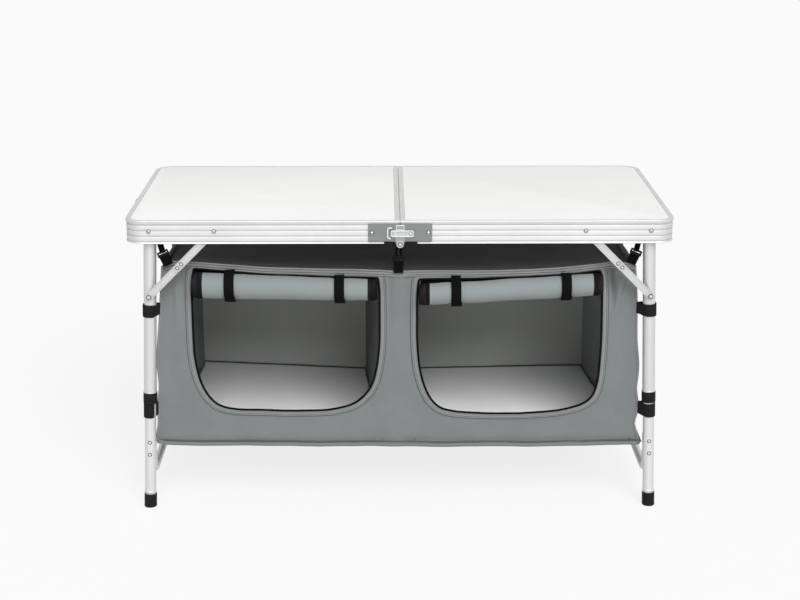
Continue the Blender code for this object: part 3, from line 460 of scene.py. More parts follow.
def handle_section(y, ribbed):
    """The grip's section of (out of the frame, up) points at a place along it."""
    share = min(abs(y) / grip_half, 1.0)
    groove_depth = rib * ribbed * (share < 0.8)
    end_trim = 0.0015 if abs(y) > handle_half - 0.001 else 0.0
    half = (0.011 if share == 1.0 else 0.0088 + 0.0022 * share ** 6) - end_trim
    inner = handle_bow * (1 - share ** 2) ** 0.8
    outer = inner + handle_thick - groove_depth - end_trim
    edge = outer + groove_depth
    lower = [(inner, -half), (outer - 0.0012, -half), (edge, -half + 0.0012), (edge, -half + 0.0026),
             (outer - 0.0003, -half + 0.0032)]
    return lower + [(out, -up) for out, up in reversed(lower)]


for label, side in SIDES.items():
    wall = half_length - flute_crest + 0.0002
    bm = bmesh.new()
    add_skin(bm, [[(side * (wall + out), y, handle_z + up) for out, up in handle_section(y, i % 2)]
                  for i, y in enumerate(handle_stations)])
    piece(f"{label}_strap_handle", bm, grey_plastic, f"{label}_half", [f"{label}_handle"], crease=28)
    screws = bmesh.new()
    for y in (-screw_y, screw_y):
        add_rivet(screws, 0.0040, 0.0016, (side * (wall + 0.0038), y, handle_z), (side, 0, 0), 18)
    piece(f"{label}_handle_screws", screws, rivet_steel, f"{label}_half")


# The hinge at each end of the seam is pressed from zinc-plated steel: a flat leaf riveted to each half, a tab
# that runs down over both to the pin below the frame, a latch bar that swings on the right leaf, and the
# C-shaped catch on the left leaf that the bar's tip drops into.
def brushed_zinc(name, scale, stretch, cloudiness, dark, light, metallic, roughness, roughening):
    """Zinc plate with fine brush marks along the small stretch, and a share of broad clouds in its colour."""
    made, place = new_finish(name)
    brushing = speckle(place, scale, 4, 0.6, stretch)
    shade = brushing * (1 - cloudiness) + speckle(place, 35) * cloudiness if cloudiness else brushing
    dress(made, {"Base Color": shade.tint(dark, light), "Metallic": metallic,
                 "Roughness": roughness + brushing * roughening, "Normal": relief(brushing, 0.00002)})
    return made


plate_zinc = brushed_zinc("dull zinc plate", 260, (0.05, 1, 1), 0.3,
                          (0.150, 0.155, 0.155), (0.235, 0.24, 0.24), 0.55, 0.40, 0.2)
tab_zinc = brushed_zinc("hinge tab zinc", 280, (1, 1, 0.05), 0.3,
                        (0.235, 0.24, 0.24), (0.34, 0.345, 0.345), 0.5, 0.38, 0.2)
latch_zinc = brushed_zinc("bright zinc plate", 300, (0.06, 1, 1), 0.0,
                          (0.50, 0.505, 0.51), (0.66, 0.66, 0.66), 0.45, 0.30, 0.18)


def stadium(one, two, width, steps):
    """The outline of a bar with round ends about two (across, up) points."""
    heading = math.degrees(math.atan2(two[1] - one[1], two[0] - one[0]))
    return (arc(one, width / 2, heading + 90, heading + 270, steps)
            + arc(two, width / 2, heading - 90, heading + 90, steps))


def oblong(x0, z0, x1, z1):
    return [(x0, z0), (x1, z0), (x1, z1), (x0, z1)]


def rounded(x0, z0, x1, z1, radius, steps=5):
    """A rectangle of (across, up) points with round corners."""
    middles = oblong(x0 + radius, z0 + radius, x1 - radius, z1 - radius)
    corners = ((middles[2], 0), (middles[3], 90), (middles[0], 180), (middles[1], 270))
    return [spot for middle, turn in corners for spot in arc(middle, radius, turn, turn + 90, steps)]


def add_pressed(bm, outline, face, near, far, edge=0.0003, groove=None):
    """A plate between two distances from the middle plane, its edge broken, with a groove (margin, depth)."""
    layers = [(0.0, near), (0.0, far - edge), (edge, far)]
    if groove:
        margin, depth = groove
        layers += [(margin, far), (margin + depth, far - depth)]
    add_layers(bm, outline, face, layers)


def sweep(bm, path, section, across, path_closed=False):
    """One section of (along across, out of the strip) points, or one for each point, drawn along a path."""
    path = [Vector(p) for p in path]
    count = len(path)
    rings = []
    for i, point in enumerate(path):
        before = path[i - 1] if i or path_closed else point
        after = path[(i + 1) % count] if i < count - 1 or path_closed else point
        run = (after - before).normalized()
        wide = Vector(across).normalized()
        wide = (wide - run * wide.dot(run)).normalized()
        out = run.cross(wide)
        shape = section[i] if isinstance(section[0], list) else section
        rings.append([point + wide * u + out * v for u, v in shape])
    add_skin(bm, rings, path_closed)


plate_y, plate_thick = half_depth + 0.0003, 0.0015
tab_y = plate_y + 0.0018
latch_y = tab_y + 0.0018
latch_z = top_z - 0.0277
pin_z = top_z - frame_height - 0.0003
tab_shoulder = [(0.0108, top_z - 0.0078), (0.0108, pin_z + 0.0050), (0.0086, pin_z + 0.0030)]
tab_outline = [tab_shoulder[0]] + [(-x, z) for x, z in tab_shoulder] + arc((0.0, pin_z), 0.0082, 205, 335, 14)
tab_outline += [tab_shoulder[2], tab_shoulder[1]]
window_outline = rounded(-0.0090, top_z - 0.0205, 0.0092, top_z - 0.0092, 0.0010)
catch_line = [(-0.0176, top_z - 0.0150), (-0.0220, top_z - 0.0150)]
catch_line += arc((-0.0232, top_z - 0.0190), 0.0040, 90, 180, 6) + [(-0.0272, latch_z)]
catch_line += arc((-0.0232, top_z - 0.0342), 0.0040, 180, 270, 6) + [(-0.0205, top_z - 0.0382)]
catch_section = [(-0.0028, -0.0017), (0.0022, -0.0017), (0.0028, -0.0011), (0.0028, 0.0011), (0.0022, 0.0017),
                 (-0.0028, 0.0017)]

for where, face in FACES.items():
    out = (0, face, 0)
    for label, side in SIDES.items():
        name = f"{label}_{where}_hinge_plate"
        plate_outline = rounded(0.0006, top_z - 0.0457, 0.0695, top_z - 0.0065, 0.0013)
        bm = bmesh.new()
        add_pressed(bm, [(side * x, z) for x, z in plate_outline], face, plate_y, plate_y + plate_thick)
        piece(name, bm, plate_zinc, f"{label}_half", [f"{label}_hinge_leaf_{where}"])
        rivet_x, rivet_z, rivet_y = side * 0.0612, top_z - 0.0268, plate_y + plate_thick
        rivet = bmesh.new()
        dome = [(0.0034, -0.0003), (0.0034, 0.0012), (0.0031, 0.0018), (0.0022, 0.0023), (0.0010, 0.0025)]
        add_turned(rivet, dome, (rivet_x, face * rivet_y, rivet_z), out)
        piece(f"{name}_rivet", rivet, rivet_steel, f"{label}_half")
        # The rivet's slot and a flat ring round it are dark zinc, as painted shade.
        slot = bmesh.new()
        slot_outline = rounded(rivet_x - 0.0036, rivet_z - 0.0007, rivet_x + 0.0036, rivet_z + 0.0007,
                               0.0005, 2)
        add_layers(slot, slot_outline, face, [(0.0, rivet_y + 0.0026), (0.0, rivet_y + 0.0010)])
        add_shade_ring(slot, 0.0050, (rivet_x, face * rivet_y, rivet_z), out)
        piece(f"{name}_rivet_slot_painted_shade", slot, shade_ring_steel, f"{label}_half")
    tab = bmesh.new()
    add_pressed(tab, tab_outline, face, tab_y, tab_y + 0.0012, 0.0003, (0.0010, 0.0004))
    piece(f"{where}_hinge_tab", tab, tab_zinc, "left_half")
    # A dark ring of painted shade lies round the pin.
    pin_shade_ring = bmesh.new()
    add_shade_ring(pin_shade_ring, 0.0044, (0.0, face * (tab_y + 0.0009), pin_z), out)
    piece(f"{where}_hinge_pin_shade_ring", pin_shade_ring, shade_ring_steel, "left_half")
    pin = bmesh.new()
    add_layers(pin, window_outline, face, [
        (0.0, tab_y + 0.0006), (0.0, tab_y + 0.0019), (0.0004, tab_y + 0.0022), (0.0014, tab_y + 0.0022),
        (0.0017, tab_y + 0.0010), (0.0017, tab_y + 0.0006)])
    eye = [(0.0079, -0.0012), (0.0079, 0.0004), (0.0076, 0.0008), (0.0067, 0.0008), (0.0063, 0.0002),
           (0.0063, -0.0008)]
    add_turned(pin, eye, (0.0, face * (tab_y + 0.0010), pin_z), out, 32)
    add_turned(pin, [(0.0030, -0.0012), (0.0030, 0.0014), (0.0026, 0.0021), (0.0012, 0.0025)],
               (0.0, face * (tab_y + 0.0014), pin_z), out, 20)
    piece(f"{where}_hinge_pin", pin, latch_zinc, "left_half")
    bar = bmesh.new()
    # Rings of the darker plate zinc round the bar's two studs are painted shade. Three strips of the same
    # zinc also run across the bar.
    rings = bmesh.new()
    bar_outline = rounded(-0.0208, latch_z - 0.0076, 0.0300, latch_z + 0.0076, 0.0042)
    add_pressed(bar, bar_outline, face, latch_y, latch_y + 0.0019, 0.0004, (0.0018, 0.0007))
    for x, radius in ((0.0226, 0.0030), (-0.0150, 0.0022)):
        seat = (x, face * (latch_y + 0.0013), latch_z)
        stud = [(radius, 0.0003), (radius, 0.0014), (radius * 0.8, 0.0020), (radius * 0.3, 0.0024)]
        add_turned(bar, stud, seat, out, 18)
        add_shade_ring(rings, radius * 1.5, seat, out)
    for rise in (0.0031, 0.0, -0.0031):
        line = oblong(-0.0090, latch_z + rise - 0.00045, 0.0165, latch_z + rise + 0.00045)
        add_layers(rings, line, face, [(0.0, latch_y + 0.0008), (0.0, latch_y + 0.0014)])
    piece(f"{where}_latch", bar, latch_zinc, f"{where}_latch", [f"{where}_latch_bar"])
    piece(f"{where}_latch_shade_rings", rings, plate_zinc, f"{where}_latch")
    catch = bmesh.new()
    sweep(catch, [(x, face * (latch_y + 0.0006), z) for x, z in catch_line], catch_section, out)
    piece(f"{where}_latch_catch", catch, latch_zinc, "left_half")


# Each leg is two aluminium tubes under the same white coat. The upper one is riveted inside the frame's wall,
# a black ferrule closes its lower end, and the lower one slides through it and stands in a black rubber foot.
# The lower tube's copy of the coat is drawn lighter, as painted light.
splay = math.radians(2.09)
leg_y = 0.271
upper_radius, lower_radius = 0.0140, 0.0125
brace_drop = 0.1496
ferrule_low = -0.4018
foot_height = 0.032
black_plastic, place = new_finish("black moulded plastic")
mould = speckle(place, 420, 3)
dress(black_plastic, {"Base Color": speckle(place, 45, 3).tint((0.006, 0.006, 0.006), (0.014, 0.014, 0.014)),
                      "Specular IOR Level": 0.08, "Roughness": 0.40 + mould * 0.22,
                      "Normal": relief(mould, 0.00004)})
tube_coat, place = new_finish("satin coated tube")
drawn = speckle(place, 300, 3, 0.6, (1, 1, 0.02))
handled = speckle(place, 14, 5, 0.6)
ring_wear = speckle(place, 90, 4, 0.7, (1, 1, 0.3)).ramp((0.60, 0), (0.72, 1))
tone = handled * 0.6 + drawn * 0.4 - ring_wear * 0.3
dress(tube_coat, {"Base Color": tone.tint((0.528, 0.528, 0.531), (0.608, 0.608, 0.605)), "Metallic": 0.58,
                  "Roughness": 0.36 + drawn * 0.14 + ring_wear * 0.1, "Normal": relief(drawn, 0.000012)})
# The inner tube's coat is a lighter copy of the same coat, as painted light.
lower_coat_painted_light, place = new_finish("satin inner tube coat, lightened as painted light")
drawn = speckle(place, 300, 3, 0.6, (1, 1, 0.02))
slide_wear = speckle(place, 60, 4, 0.7, (1, 1, 0.06)).ramp((0.55, 0), (0.75, 1))
tone = drawn * 0.8 - slide_wear * 0.3
dress(lower_coat_painted_light, {"Base Color": tone.tint((0.575, 0.575, 0.578), (0.655, 0.655, 0.655)), "Metallic": 0.58,
                   "Roughness": 0.42 + drawn * 0.12 + slide_wear * 0.1, "Normal": relief(drawn, 0.000012)})


def on_leg(side, up, y, out=0.0):
    """A point at a distance up the leg's centre line from its pivot, and out from it along x."""
    x = leg_pivot_x - math.sin(splay) * up + math.cos(splay) * out
    return Vector((side * x, y, pivot_z + math.cos(splay) * up + math.sin(splay) * out))


def leg_up(height):
    """How far up the leg, from its pivot, a height above the floor lies."""
    return (height - pivot_z) / math.cos(splay)


foot_top = leg_up(foot_height)
upper_tube = [(0.0126, 0.006), (0.0136, 0.007), (0.0140, 0.0066), (0.0140, 0.0058), (0.0140, -0.3945),
              (0.0140, -0.3955), (0.0137, -0.398), (0.0126, -0.398)]
brace_rivet = [(0.0055, 0.012), (0.0055, 0.0222), (0.0030, 0.0224), (0.0030, 0.0256), (0.0036, 0.0258),
               (0.0028, 0.0266), (0.0012, 0.0268)]
ferrule = [(0.0128, 0.0), (0.0148, 0.0), (0.0156, 0.0007), (0.0157, 0.0035), (0.0154, 0.0042),
           (0.0154, 0.0058), (0.0157, 0.0064), (0.0157, 0.0190), (0.0155, 0.0196), (0.0155, 0.0206),
           (0.0157, 0.0212), (0.0156, 0.0248), (0.0152, 0.0255), (0.0142, 0.0255)]
ferrule_ring = [(0.0141, 0.0255), (0.0153, 0.0256), (0.0155, 0.0262), (0.0153, 0.0271), (0.0142, 0.0274)]
lower_tube = [(0.0113, -0.268), (0.0122, -0.268), (0.0125, -0.2685), (0.0125, -0.2695),
              (0.0125, foot_top + 0.0084), (0.0125, foot_top + 0.0076), (0.0130, foot_top + 0.0066),
              (0.0132, foot_top + 0.0052), (0.0130, foot_top + 0.0038), (0.0125, foot_top + 0.0030),
              (0.0125, foot_top - 0.026), (0.0113, foot_top - 0.026)]
# A foot's rings are (radius, height, how level with the floor), because the leg leans and its sole is flat.
foot_rings = (
    (0.0127, 0.0318, 0), (0.0135, 0.0320, 0), (0.0141, 0.0314, 0), (0.0142, 0.0300, 0),
    (0.0139, 0.0288, 0), (0.0139, 0.0278, 0), (0.0142, 0.0270, 0), (0.0142, 0.0110, 0.4),
    (0.0140, 0.0096, 0.6), (0.0140, 0.0084, 0.7), (0.0143, 0.0074, 0.8), (0.0144, 0.0022, 1),
    (0.0136, 0.0004, 1), (0.0110, 0.0, 1))
bar_rivet = [(0.0030, -0.0012), (0.0030, 0.0010), (0.0027, 0.0016), (0.0018, 0.0020), (0.0010, 0.0020)]


def sleeve(profile, side, y, rise=0.0):
    """A new bmesh with a profile turned about a leg, starting a rise above its pivot."""
    bm = bmesh.new()
    upwards = (-side * math.sin(splay), 0, math.cos(splay))
    add_turned(bm, [(radius, rise + up) for radius, up in profile], on_leg(side, 0.0, y), upwards, 56)
    return bm


for label, side in SIDES.items():
    legs, extension = f"{label}_legs", f"{label}_extension"
    for where, face in FACES.items():
        name = f"{label}_{where}"
        y = face * leg_y
        out = (0, face, 0)
        # A dark ring of painted shade lies round the brace's rivet on the leg.
        bm = bmesh.new()
        add_shade_ring(bm, 0.0056, on_leg(side, -brace_drop, y + face * 0.0250), out)
        piece(f"{name}_brace_shade_ring", bm, shade_ring_steel, legs)
        bm = sleeve(upper_tube, side, y)
        add_turned(bm, brace_rivet, on_leg(side, -brace_drop, y), out, 20)
        piece(f"{name}_upper_tube", bm, tube_coat, legs, [f"{name}_upper_leg"])
        piece(f"{name}_ferrule", sleeve(ferrule, side, y, ferrule_low), black_plastic, legs,
              [f"{name}_collar"])
        piece(f"{name}_ferrule_ring", sleeve(ferrule_ring, side, y, ferrule_low), rivet_steel, legs)
        piece(f"{name}_lower_tube", sleeve(lower_tube, side, y), lower_coat_painted_light, extension, [f"{name}_lower_leg"])
        rings = []
        for radius, height, level in foot_rings:
            ring = [on_leg(side, leg_up(height), y + dy, dx) for dx, dy in oval(radius, radius, 56)]
            for spot in ring:
                spot.z += (height - spot.z) * level
            rings.append(ring)
        bm = bmesh.new()
        add_skin(bm, rings)
        piece(f"{name}_rubber_foot", bm, black_plastic, extension, [f"{name}_foot"])
        # Each bar rivet sits on a dark ring of painted shade.
        rivets = bmesh.new()
        shade_rings = bmesh.new()
        for height in (0.158, 0.129):
            seat = on_leg(side, leg_up(height), face * (leg_y + lower_radius - 0.0002))
            add_turned(rivets, bar_rivet, seat, out, 20)
            add_shade_ring(shade_rings, 0.0046, seat, out)
        piece(f"{name}_bar_rivets", rivets, rivet_steel, extension)
        piece(f"{name}_bar_shade_rings", shade_rings, shade_ring_steel, extension)


# A bent tube joins each side's lower legs. It runs down behind the front leg, across under the bag and up
# behind the rear leg, and its ends are pressed flat where two rivets hold them to each leg.
bar_radius, bar_bend = 0.0088, 0.034
bar_half_span = leg_y - lower_radius - 0.0089
bar_low, bar_high, press_start = leg_up(0.076), leg_up(0.168), leg_up(0.108)


def fade_in(value, start, width):
    """0 up to the start, 1 from a width beyond it, and a straight rise between them."""
    return min(max((value - start) / width, 0.0), 1.0)


bend_line = arc((bar_half_span - bar_bend, bar_low + bar_bend), bar_bend, -90, 0, 12)
bend_top = bend_line[-1][1]
half_run = [(y, bar_low) for y in (0.0, 0.08, 0.15)] + bend_line
half_run += [(bar_half_span, bend_top + (bar_high - bend_top) * i / 6) for i in range(1, 7)]
bar_run = [(-y, up) for y, up in reversed(half_run)] + half_run[1:]
for label, side in SIDES.items():
    line, sections = [], []
    for y, up in bar_run:
        pressed = fade_in(up, press_start, 0.016)
        outwards = y + math.copysign(0.0040 * pressed, y)
        line.append(on_leg(side, up, outwards, -0.0045 * (1 - fade_in(up, leg_up(0.102), 0.030))))
        flat = pressed * pressed * (3 - 2 * pressed)
        sections.append(oval(bar_radius + 0.0024 * flat, bar_radius - 0.0040 * flat, 32))
    bm = bmesh.new()
    sweep(bm, line, sections, (1, 0, 0))
    # The cross tube takes the lower tubes' coat, lightened as painted light.
    piece(f"{label}_cross_tube", bm, lower_coat_painted_light, f"{label}_extension", [f"{label}_cross_bar"], crease=50)


# Every leg is held open by a brace of two pressed steel links under the white coat. The edges are turned up
# along both sides, a knee rivet joins the links, and a stop rivet beyond it keeps the knee from folding back.
brace_coat, place = new_finish("coated brace steel")
pressed = speckle(place, 200, 4, 0.6)
chips = speckle(place, 110, 3, 0.7).ramp((0.64, 0), (0.70, 1))
tone = pressed * 0.8 - chips * 0.5
dress(brace_coat, {"Base Color": tone.tint((0.465, 0.465, 0.468), (0.59, 0.59, 0.588)), "Metallic": 0.60,
                   "Roughness": 0.34 + pressed * 0.14, "Normal": relief(pressed - chips * 0.4, 0.00002)})
link_width = 0.0165
frame_end = Vector((brace_pivot_x, pivot_z))
leg_end = Vector((leg_pivot_x + brace_drop * math.sin(splay), pivot_z - brace_drop * math.cos(splay)))
knee = (frame_end + leg_end) / 2
stop = knee + (leg_end - frame_end).normalized() * 0.0125
knee_rivet = [(0.0026, -0.0040), (0.0026, 0.0008), (0.0022, 0.0013), (0.0010, 0.0016)]
links = (("brace_upper", frame_end, stop, half_depth - 0.0054),
         ("brace_lower", leg_end, knee, half_depth - 0.0093))
for label, side in SIDES.items():
    for where, face in FACES.items():
        for part, one, two, outer in links:
            outline = [(side * x, z) for x, z in stadium(one, two, link_width, 14)]
            bm = bmesh.new()
            add_pressed(bm, outline, face, outer - 0.0018, outer + 0.0004, 0.0004, (0.0022, 0.0012))
            piece(f"{label}_{where}_{part}_link", bm, brace_coat, f"{label}_{part}",
                  [f"{label}_{where}_{part}"])
            if part == "brace_lower":
                continue
            # The knee and stop rivets sit on dark rings of painted shade.
            rivets = bmesh.new()
            shade_rings = bmesh.new()
            for spot in (knee, stop):
                seat = (side * spot.x, face * (outer - 0.0006), spot.y)
                add_turned(rivets, knee_rivet, seat, (0, face, 0), 18)
                add_shade_ring(shade_rings, 0.0044, seat, (0, face, 0))
            piece(f"{label}_{where}_knee_shade_rings", shade_rings, shade_ring_steel, f"{label}_{part}")
            piece(f"{label}_{where}_knee_rivets", rivets, rivet_steel, f"{label}_{part}")


# The organiser bag is sewn from grey coated polyester, half of it under each half of the top. Its front panel
# hangs from the straps in a slack curve, is drawn in beside the openings' upper corners, puckers under the
# middle strap, and has a big opening whose lower corners are round. The weave shows close to.
front_plane = -0.2553
top_line = (
    (-0.5275, 0.5605), (-0.519, 0.5664), (-0.508, 0.5718), (-0.494, 0.5744), (-0.4577, 0.5730),
    (-0.425, 0.5699), (-0.3525, 0.5638), (-0.220, 0.5573), (-0.088, 0.5545), (0.0, 0.5525), (0.027, 0.5525),
    (0.080, 0.5516), (0.133, 0.5511), (0.187, 0.5514), (0.240, 0.5527), (0.2933, 0.5546), (0.3465, 0.5577),
    (0.373, 0.5602), (0.400, 0.5632), (0.4265, 0.5662), (0.460, 0.5694), (0.480, 0.5702), (0.505, 0.5690),
    (0.530, 0.5650))
side_lines = {
    "left": (
        (0.138, 0.5480), (0.1475, 0.5502), (0.154, 0.5518), (0.1669, 0.5505), (0.1885, 0.5465),
        (0.2057, 0.5450), (0.2228, 0.5451), (0.257, 0.5426), (0.2825, 0.5400), (0.3079, 0.5407),
        (0.3375, 0.5427), (0.3669, 0.5408), (0.392, 0.5386), (0.440, 0.5340), (0.487, 0.5305),
        (0.570, 0.5240)),
    "right": (
        (0.138, 0.5420), (0.1455, 0.5460), (0.1507, 0.5442), (0.1767, 0.5361), (0.1939, 0.5316),
        (0.2111, 0.5358), (0.2326, 0.5382), (0.254, 0.5359), (0.2754, 0.5334), (0.3051, 0.5355),
        (0.3347, 0.5359), (0.3643, 0.5329), (0.3895, 0.5302), (0.485, 0.5262), (0.570, 0.5200))}
opening_points = {
    "left": (
        (-0.4520, 0.5590), (-0.4400, 0.5582), (-0.3525, 0.5502), (-0.2200, 0.5422), (-0.1200, 0.5393),
        (-0.0560, 0.5378), (-0.0500, 0.5370), (-0.0476, 0.5330), (-0.0458, 0.5200), (-0.0440, 0.4900),
        (-0.0438, 0.4160), (-0.0442, 0.3917), (-0.0458, 0.3666), (-0.0512, 0.3244), (-0.0614, 0.2860),
        (-0.0818, 0.2561), (-0.1104, 0.2367), (-0.1512, 0.2273), (-0.2039, 0.2241), (-0.2644, 0.2234),
        (-0.3249, 0.2248), (-0.3694, 0.2275), (-0.4017, 0.2345), (-0.4217, 0.2484), (-0.4374, 0.2699),
        (-0.4487, 0.2957), (-0.4558, 0.3253), (-0.4605, 0.3592), (-0.4616, 0.3927), (-0.4620, 0.4870),
        (-0.4600, 0.5300), (-0.4572, 0.5520), (-0.4556, 0.5572)),
    "right": (
        (0.0445, 0.5338), (0.0510, 0.5343), (0.1200, 0.5345), (0.1870, 0.5354), (0.2400, 0.5376),
        (0.2930, 0.5398), (0.3465, 0.5428), (0.3730, 0.5448), (0.4000, 0.5480), (0.4265, 0.5513),
        (0.4370, 0.5526), (0.4425, 0.5520), (0.4450, 0.5488), (0.4485, 0.5300), (0.4502, 0.5000),
        (0.4514, 0.4380), (0.4518, 0.3906), (0.4500, 0.3402), (0.4478, 0.3060), (0.4426, 0.2762),
        (0.4331, 0.2547), (0.4133, 0.2382), (0.3850, 0.2288), (0.3445, 0.2212), (0.2837, 0.2171),
        (0.2230, 0.2156), (0.1622, 0.2175), (0.1215, 0.2219), (0.0928, 0.2297), (0.0723, 0.2471),
        (0.0578, 0.2729), (0.0468, 0.3071), (0.0406, 0.3453), (0.0373, 0.3916), (0.0368, 0.4500),
        (0.0372, 0.4860), (0.0388, 0.5180), (0.0408, 0.5300))}


def at(stops, x):
    """The height of a smooth line through (x, height) stops."""
    spans = list(zip(stops, stops[1:]))
    index = next((i for i, (one, two) in enumerate(spans) if x <= two[0]), len(spans) - 1)
    (x0, y0), (x1, y1) = spans[index]
    before, after = stops[max(index - 1, 0)], stops[min(index + 2, len(stops) - 1)]
    run = x1 - x0
    slope_in = (y1 - before[1]) / (x1 - before[0]) * run
    slope_out = (after[1] - y0) / (after[0] - x0) * run
    t = fade_in(x, x0, run)
    return (y0 * (2 * t ** 3 - 3 * t ** 2 + 1) + slope_in * (t ** 3 - 2 * t ** 2 + t)
            + y1 * (3 * t ** 2 - 2 * t ** 3) + slope_out * (t ** 3 - t ** 2))


def closed_curve(points, steps):
    """A smooth closed line through (x, z) points."""
    line = []
    count = len(points)
    for i in range(count):
        a, b, c, d = (Vector(points[(i + k) % count]) for k in (-1, 0, 1, 2))
        for s in range(steps):
            t = s / steps
            spot = 0.5 * (2 * b + (c - a) * t + (2 * a - 5 * b + 4 * c - d) * t * t
                          + (3 * b - a - 3 * c + d) * t ** 3)
            line.append(tuple(spot))
    return line


def even(line, pitch, closed=True):
    """The line again, with its points an even pitch apart."""
    loop = [Vector(p) for p in line] + ([Vector(line[0])] if closed else [])
    lengths = [0.0]
    for one, two in zip(loop, loop[1:]):
        lengths.append(lengths[-1] + (two - one).length)
    count = max(round(lengths[-1] / pitch), 2)
    points, index = [], 0
    for k in range(count if closed else count + 1):
        goal = lengths[-1] * k / count
        while index < len(loop) - 2 and lengths[index + 1] < goal:
            index += 1
        span = lengths[index + 1] - lengths[index]
        points.append(loop[index].lerp(loop[index + 1], (goal - lengths[index]) / span if span else 0.0))
    return points


def soft(value, x, width):
    """A bell that is 1 at x and fades out over the width."""
    return math.exp(-((value - x) / width) ** 2)


# Folds of the front panel, each (x, z, width, length, lean, depth), where depth is towards the back.
front_folds = (
    (-0.4690, 0.522, 0.0110, 0.048, -0.05, -0.0090), (-0.4925, 0.500, 0.0085, 0.064, 0.04, -0.0052),
    (-0.5140, 0.545, 0.0070, 0.022, -0.55, 0.0044), (-0.5050, 0.520, 0.0060, 0.030, -0.35, -0.0022),
    (-0.5150, 0.330, 0.0120, 0.050, 0.05, 0.0018), (-0.5050, 0.250, 0.0090, 0.030, 0.30, 0.0016),
    (0.4680, 0.522, 0.0090, 0.044, -0.12, 0.0150), (0.4870, 0.495, 0.0085, 0.058, 0.20, -0.0055),
    (0.5070, 0.522, 0.0060, 0.034, 0.42, 0.0080), (0.5000, 0.470, 0.0080, 0.040, 0.20, 0.0016),
    (0.5180, 0.300, 0.0110, 0.050, -0.05, 0.0018), (0.4800, 0.235, 0.0120, 0.030, -0.35, 0.0015),
    (-0.0180, 0.536, 0.0034, 0.013, 0.75, 0.0019), (0.0155, 0.534, 0.0034, 0.014, -0.75, 0.0021),
    (-0.0070, 0.532, 0.0030, 0.013, 0.20, 0.0014), (0.0060, 0.528, 0.0030, 0.014, -0.22, -0.0013),
    (0.0000, 0.440, 0.0130, 0.080, 0.00, -0.0020))


def front_y(x, z):
    """Where the front panel's cloth stands at x and z: a slack curve with small waves, and its folds."""
    belly = 0.0030 * math.sin(math.pi * fade_in(z, 0.15, 0.40)) ** 0.8
    waves = 0.0044 * noise.noise((x * 8.0, 3.1, z * 4.0)) + 0.0030 * noise.noise((x * 19.0, 8.7, z * 9.0))
    waves += 0.0007 * noise.noise((x * 60.0, 1.7, z * 40.0))
    folds = 0.0
    for at_x, at_z, width, length, lean, depth in front_folds:
        up = z - at_z
        if abs(x - at_x) < 0.06 and abs(up) < 0.16:
            folds += depth * math.exp(-((x - at_x - up * lean) / width) ** 2 - (up / length) ** 2)
    ridges = 0.0016 * (soft(x, 0.022, 0.006) + soft(x, -0.022, 0.006)) * fade_in(z, 0.25, 0.2)
    tuck = 0.0036 * soft(z, 0.1505, 0.0065)
    return front_plane - belly - waves + folds + ridges + tuck


def grey_cloth(name, low, high, pitch=0.0011, sheen=0.10):
    """Coated woven polyester: a plain weave, thicker threads here and there, creases and handling marks."""
    made, place = new_finish(name)
    x, y, z = axes_of(place)
    turns = 2 * math.pi / pitch
    warp = ((x + y) * turns).math("SINE")
    weft = ((z + y * 0.5) * turns).math("SINE")
    weave = warp * weft * 0.5 + 0.5
    slub = (speckle(place, 240, 3, 0.6, (0.08, 0.08, 1)) * 0.5
            + speckle(place, 240, 3, 0.6, (1, 1, 0.08)) * 0.5)
    cloudy = speckle(place, 8, 4, 0.6)
    creases = speckle(place, 26, 5, 0.62)
    dusty = speckle(place, 70, 4, 0.7).ramp((0.55, 0), (0.72, 1))
    shade = weave * 0.16 + slub * 0.34 + cloudy * 0.5
    dress(made, {"Base Color": (shade + dusty * 0.12).tint(low, high),
                 "Roughness": 0.66 + weave * 0.10 + cloudy * 0.10,
                 "Sheen Weight": sheen, "Sheen Roughness": 0.5, "Specular IOR Level": 0.25,
                 "Normal": relief(weave * 0.4 + slub * 0.25 + creases * 5.0, 0.00012, 0.8)})
    return made


bag_grey = grey_cloth("grey coated polyester", (0.108, 0.120, 0.119), (0.182, 0.201, 0.199))
# The facing and the corner piping are drawn in a lighter copy of the grey cloth, as painted light.
trim_grey_painted_light = grey_cloth("grey tape cloth lightened as painted light", (0.146, 0.156, 0.154), (0.216, 0.230, 0.226), 0.0008, 0.12)
bag_pieces = []


def bag_piece(name, bm, finish, label, stands_for=(), crease=60):
    made = piece(name, bm, finish, f"{label}_half", stands_for, crease)
    bag_pieces.append(made)
    return made


def reach_of(outline, centre, angle):
    """The distance from the centre to a closed outline in one direction."""
    heading = Vector((math.cos(angle), math.sin(angle)))
    best = 0.0
    for i, one in enumerate(outline):
        a, b = Vector(one) - centre, Vector(outline[(i + 1) % len(outline)]) - centre
        edge = b - a
        cross = heading.cross(edge)
        if abs(cross) < 1e-12:
            continue
        along, share = a.cross(edge) / cross, a.cross(heading) / cross
        if along > 0 and -1e-9 <= share <= 1 + 1e-9:
            best = max(best, along)
    return best


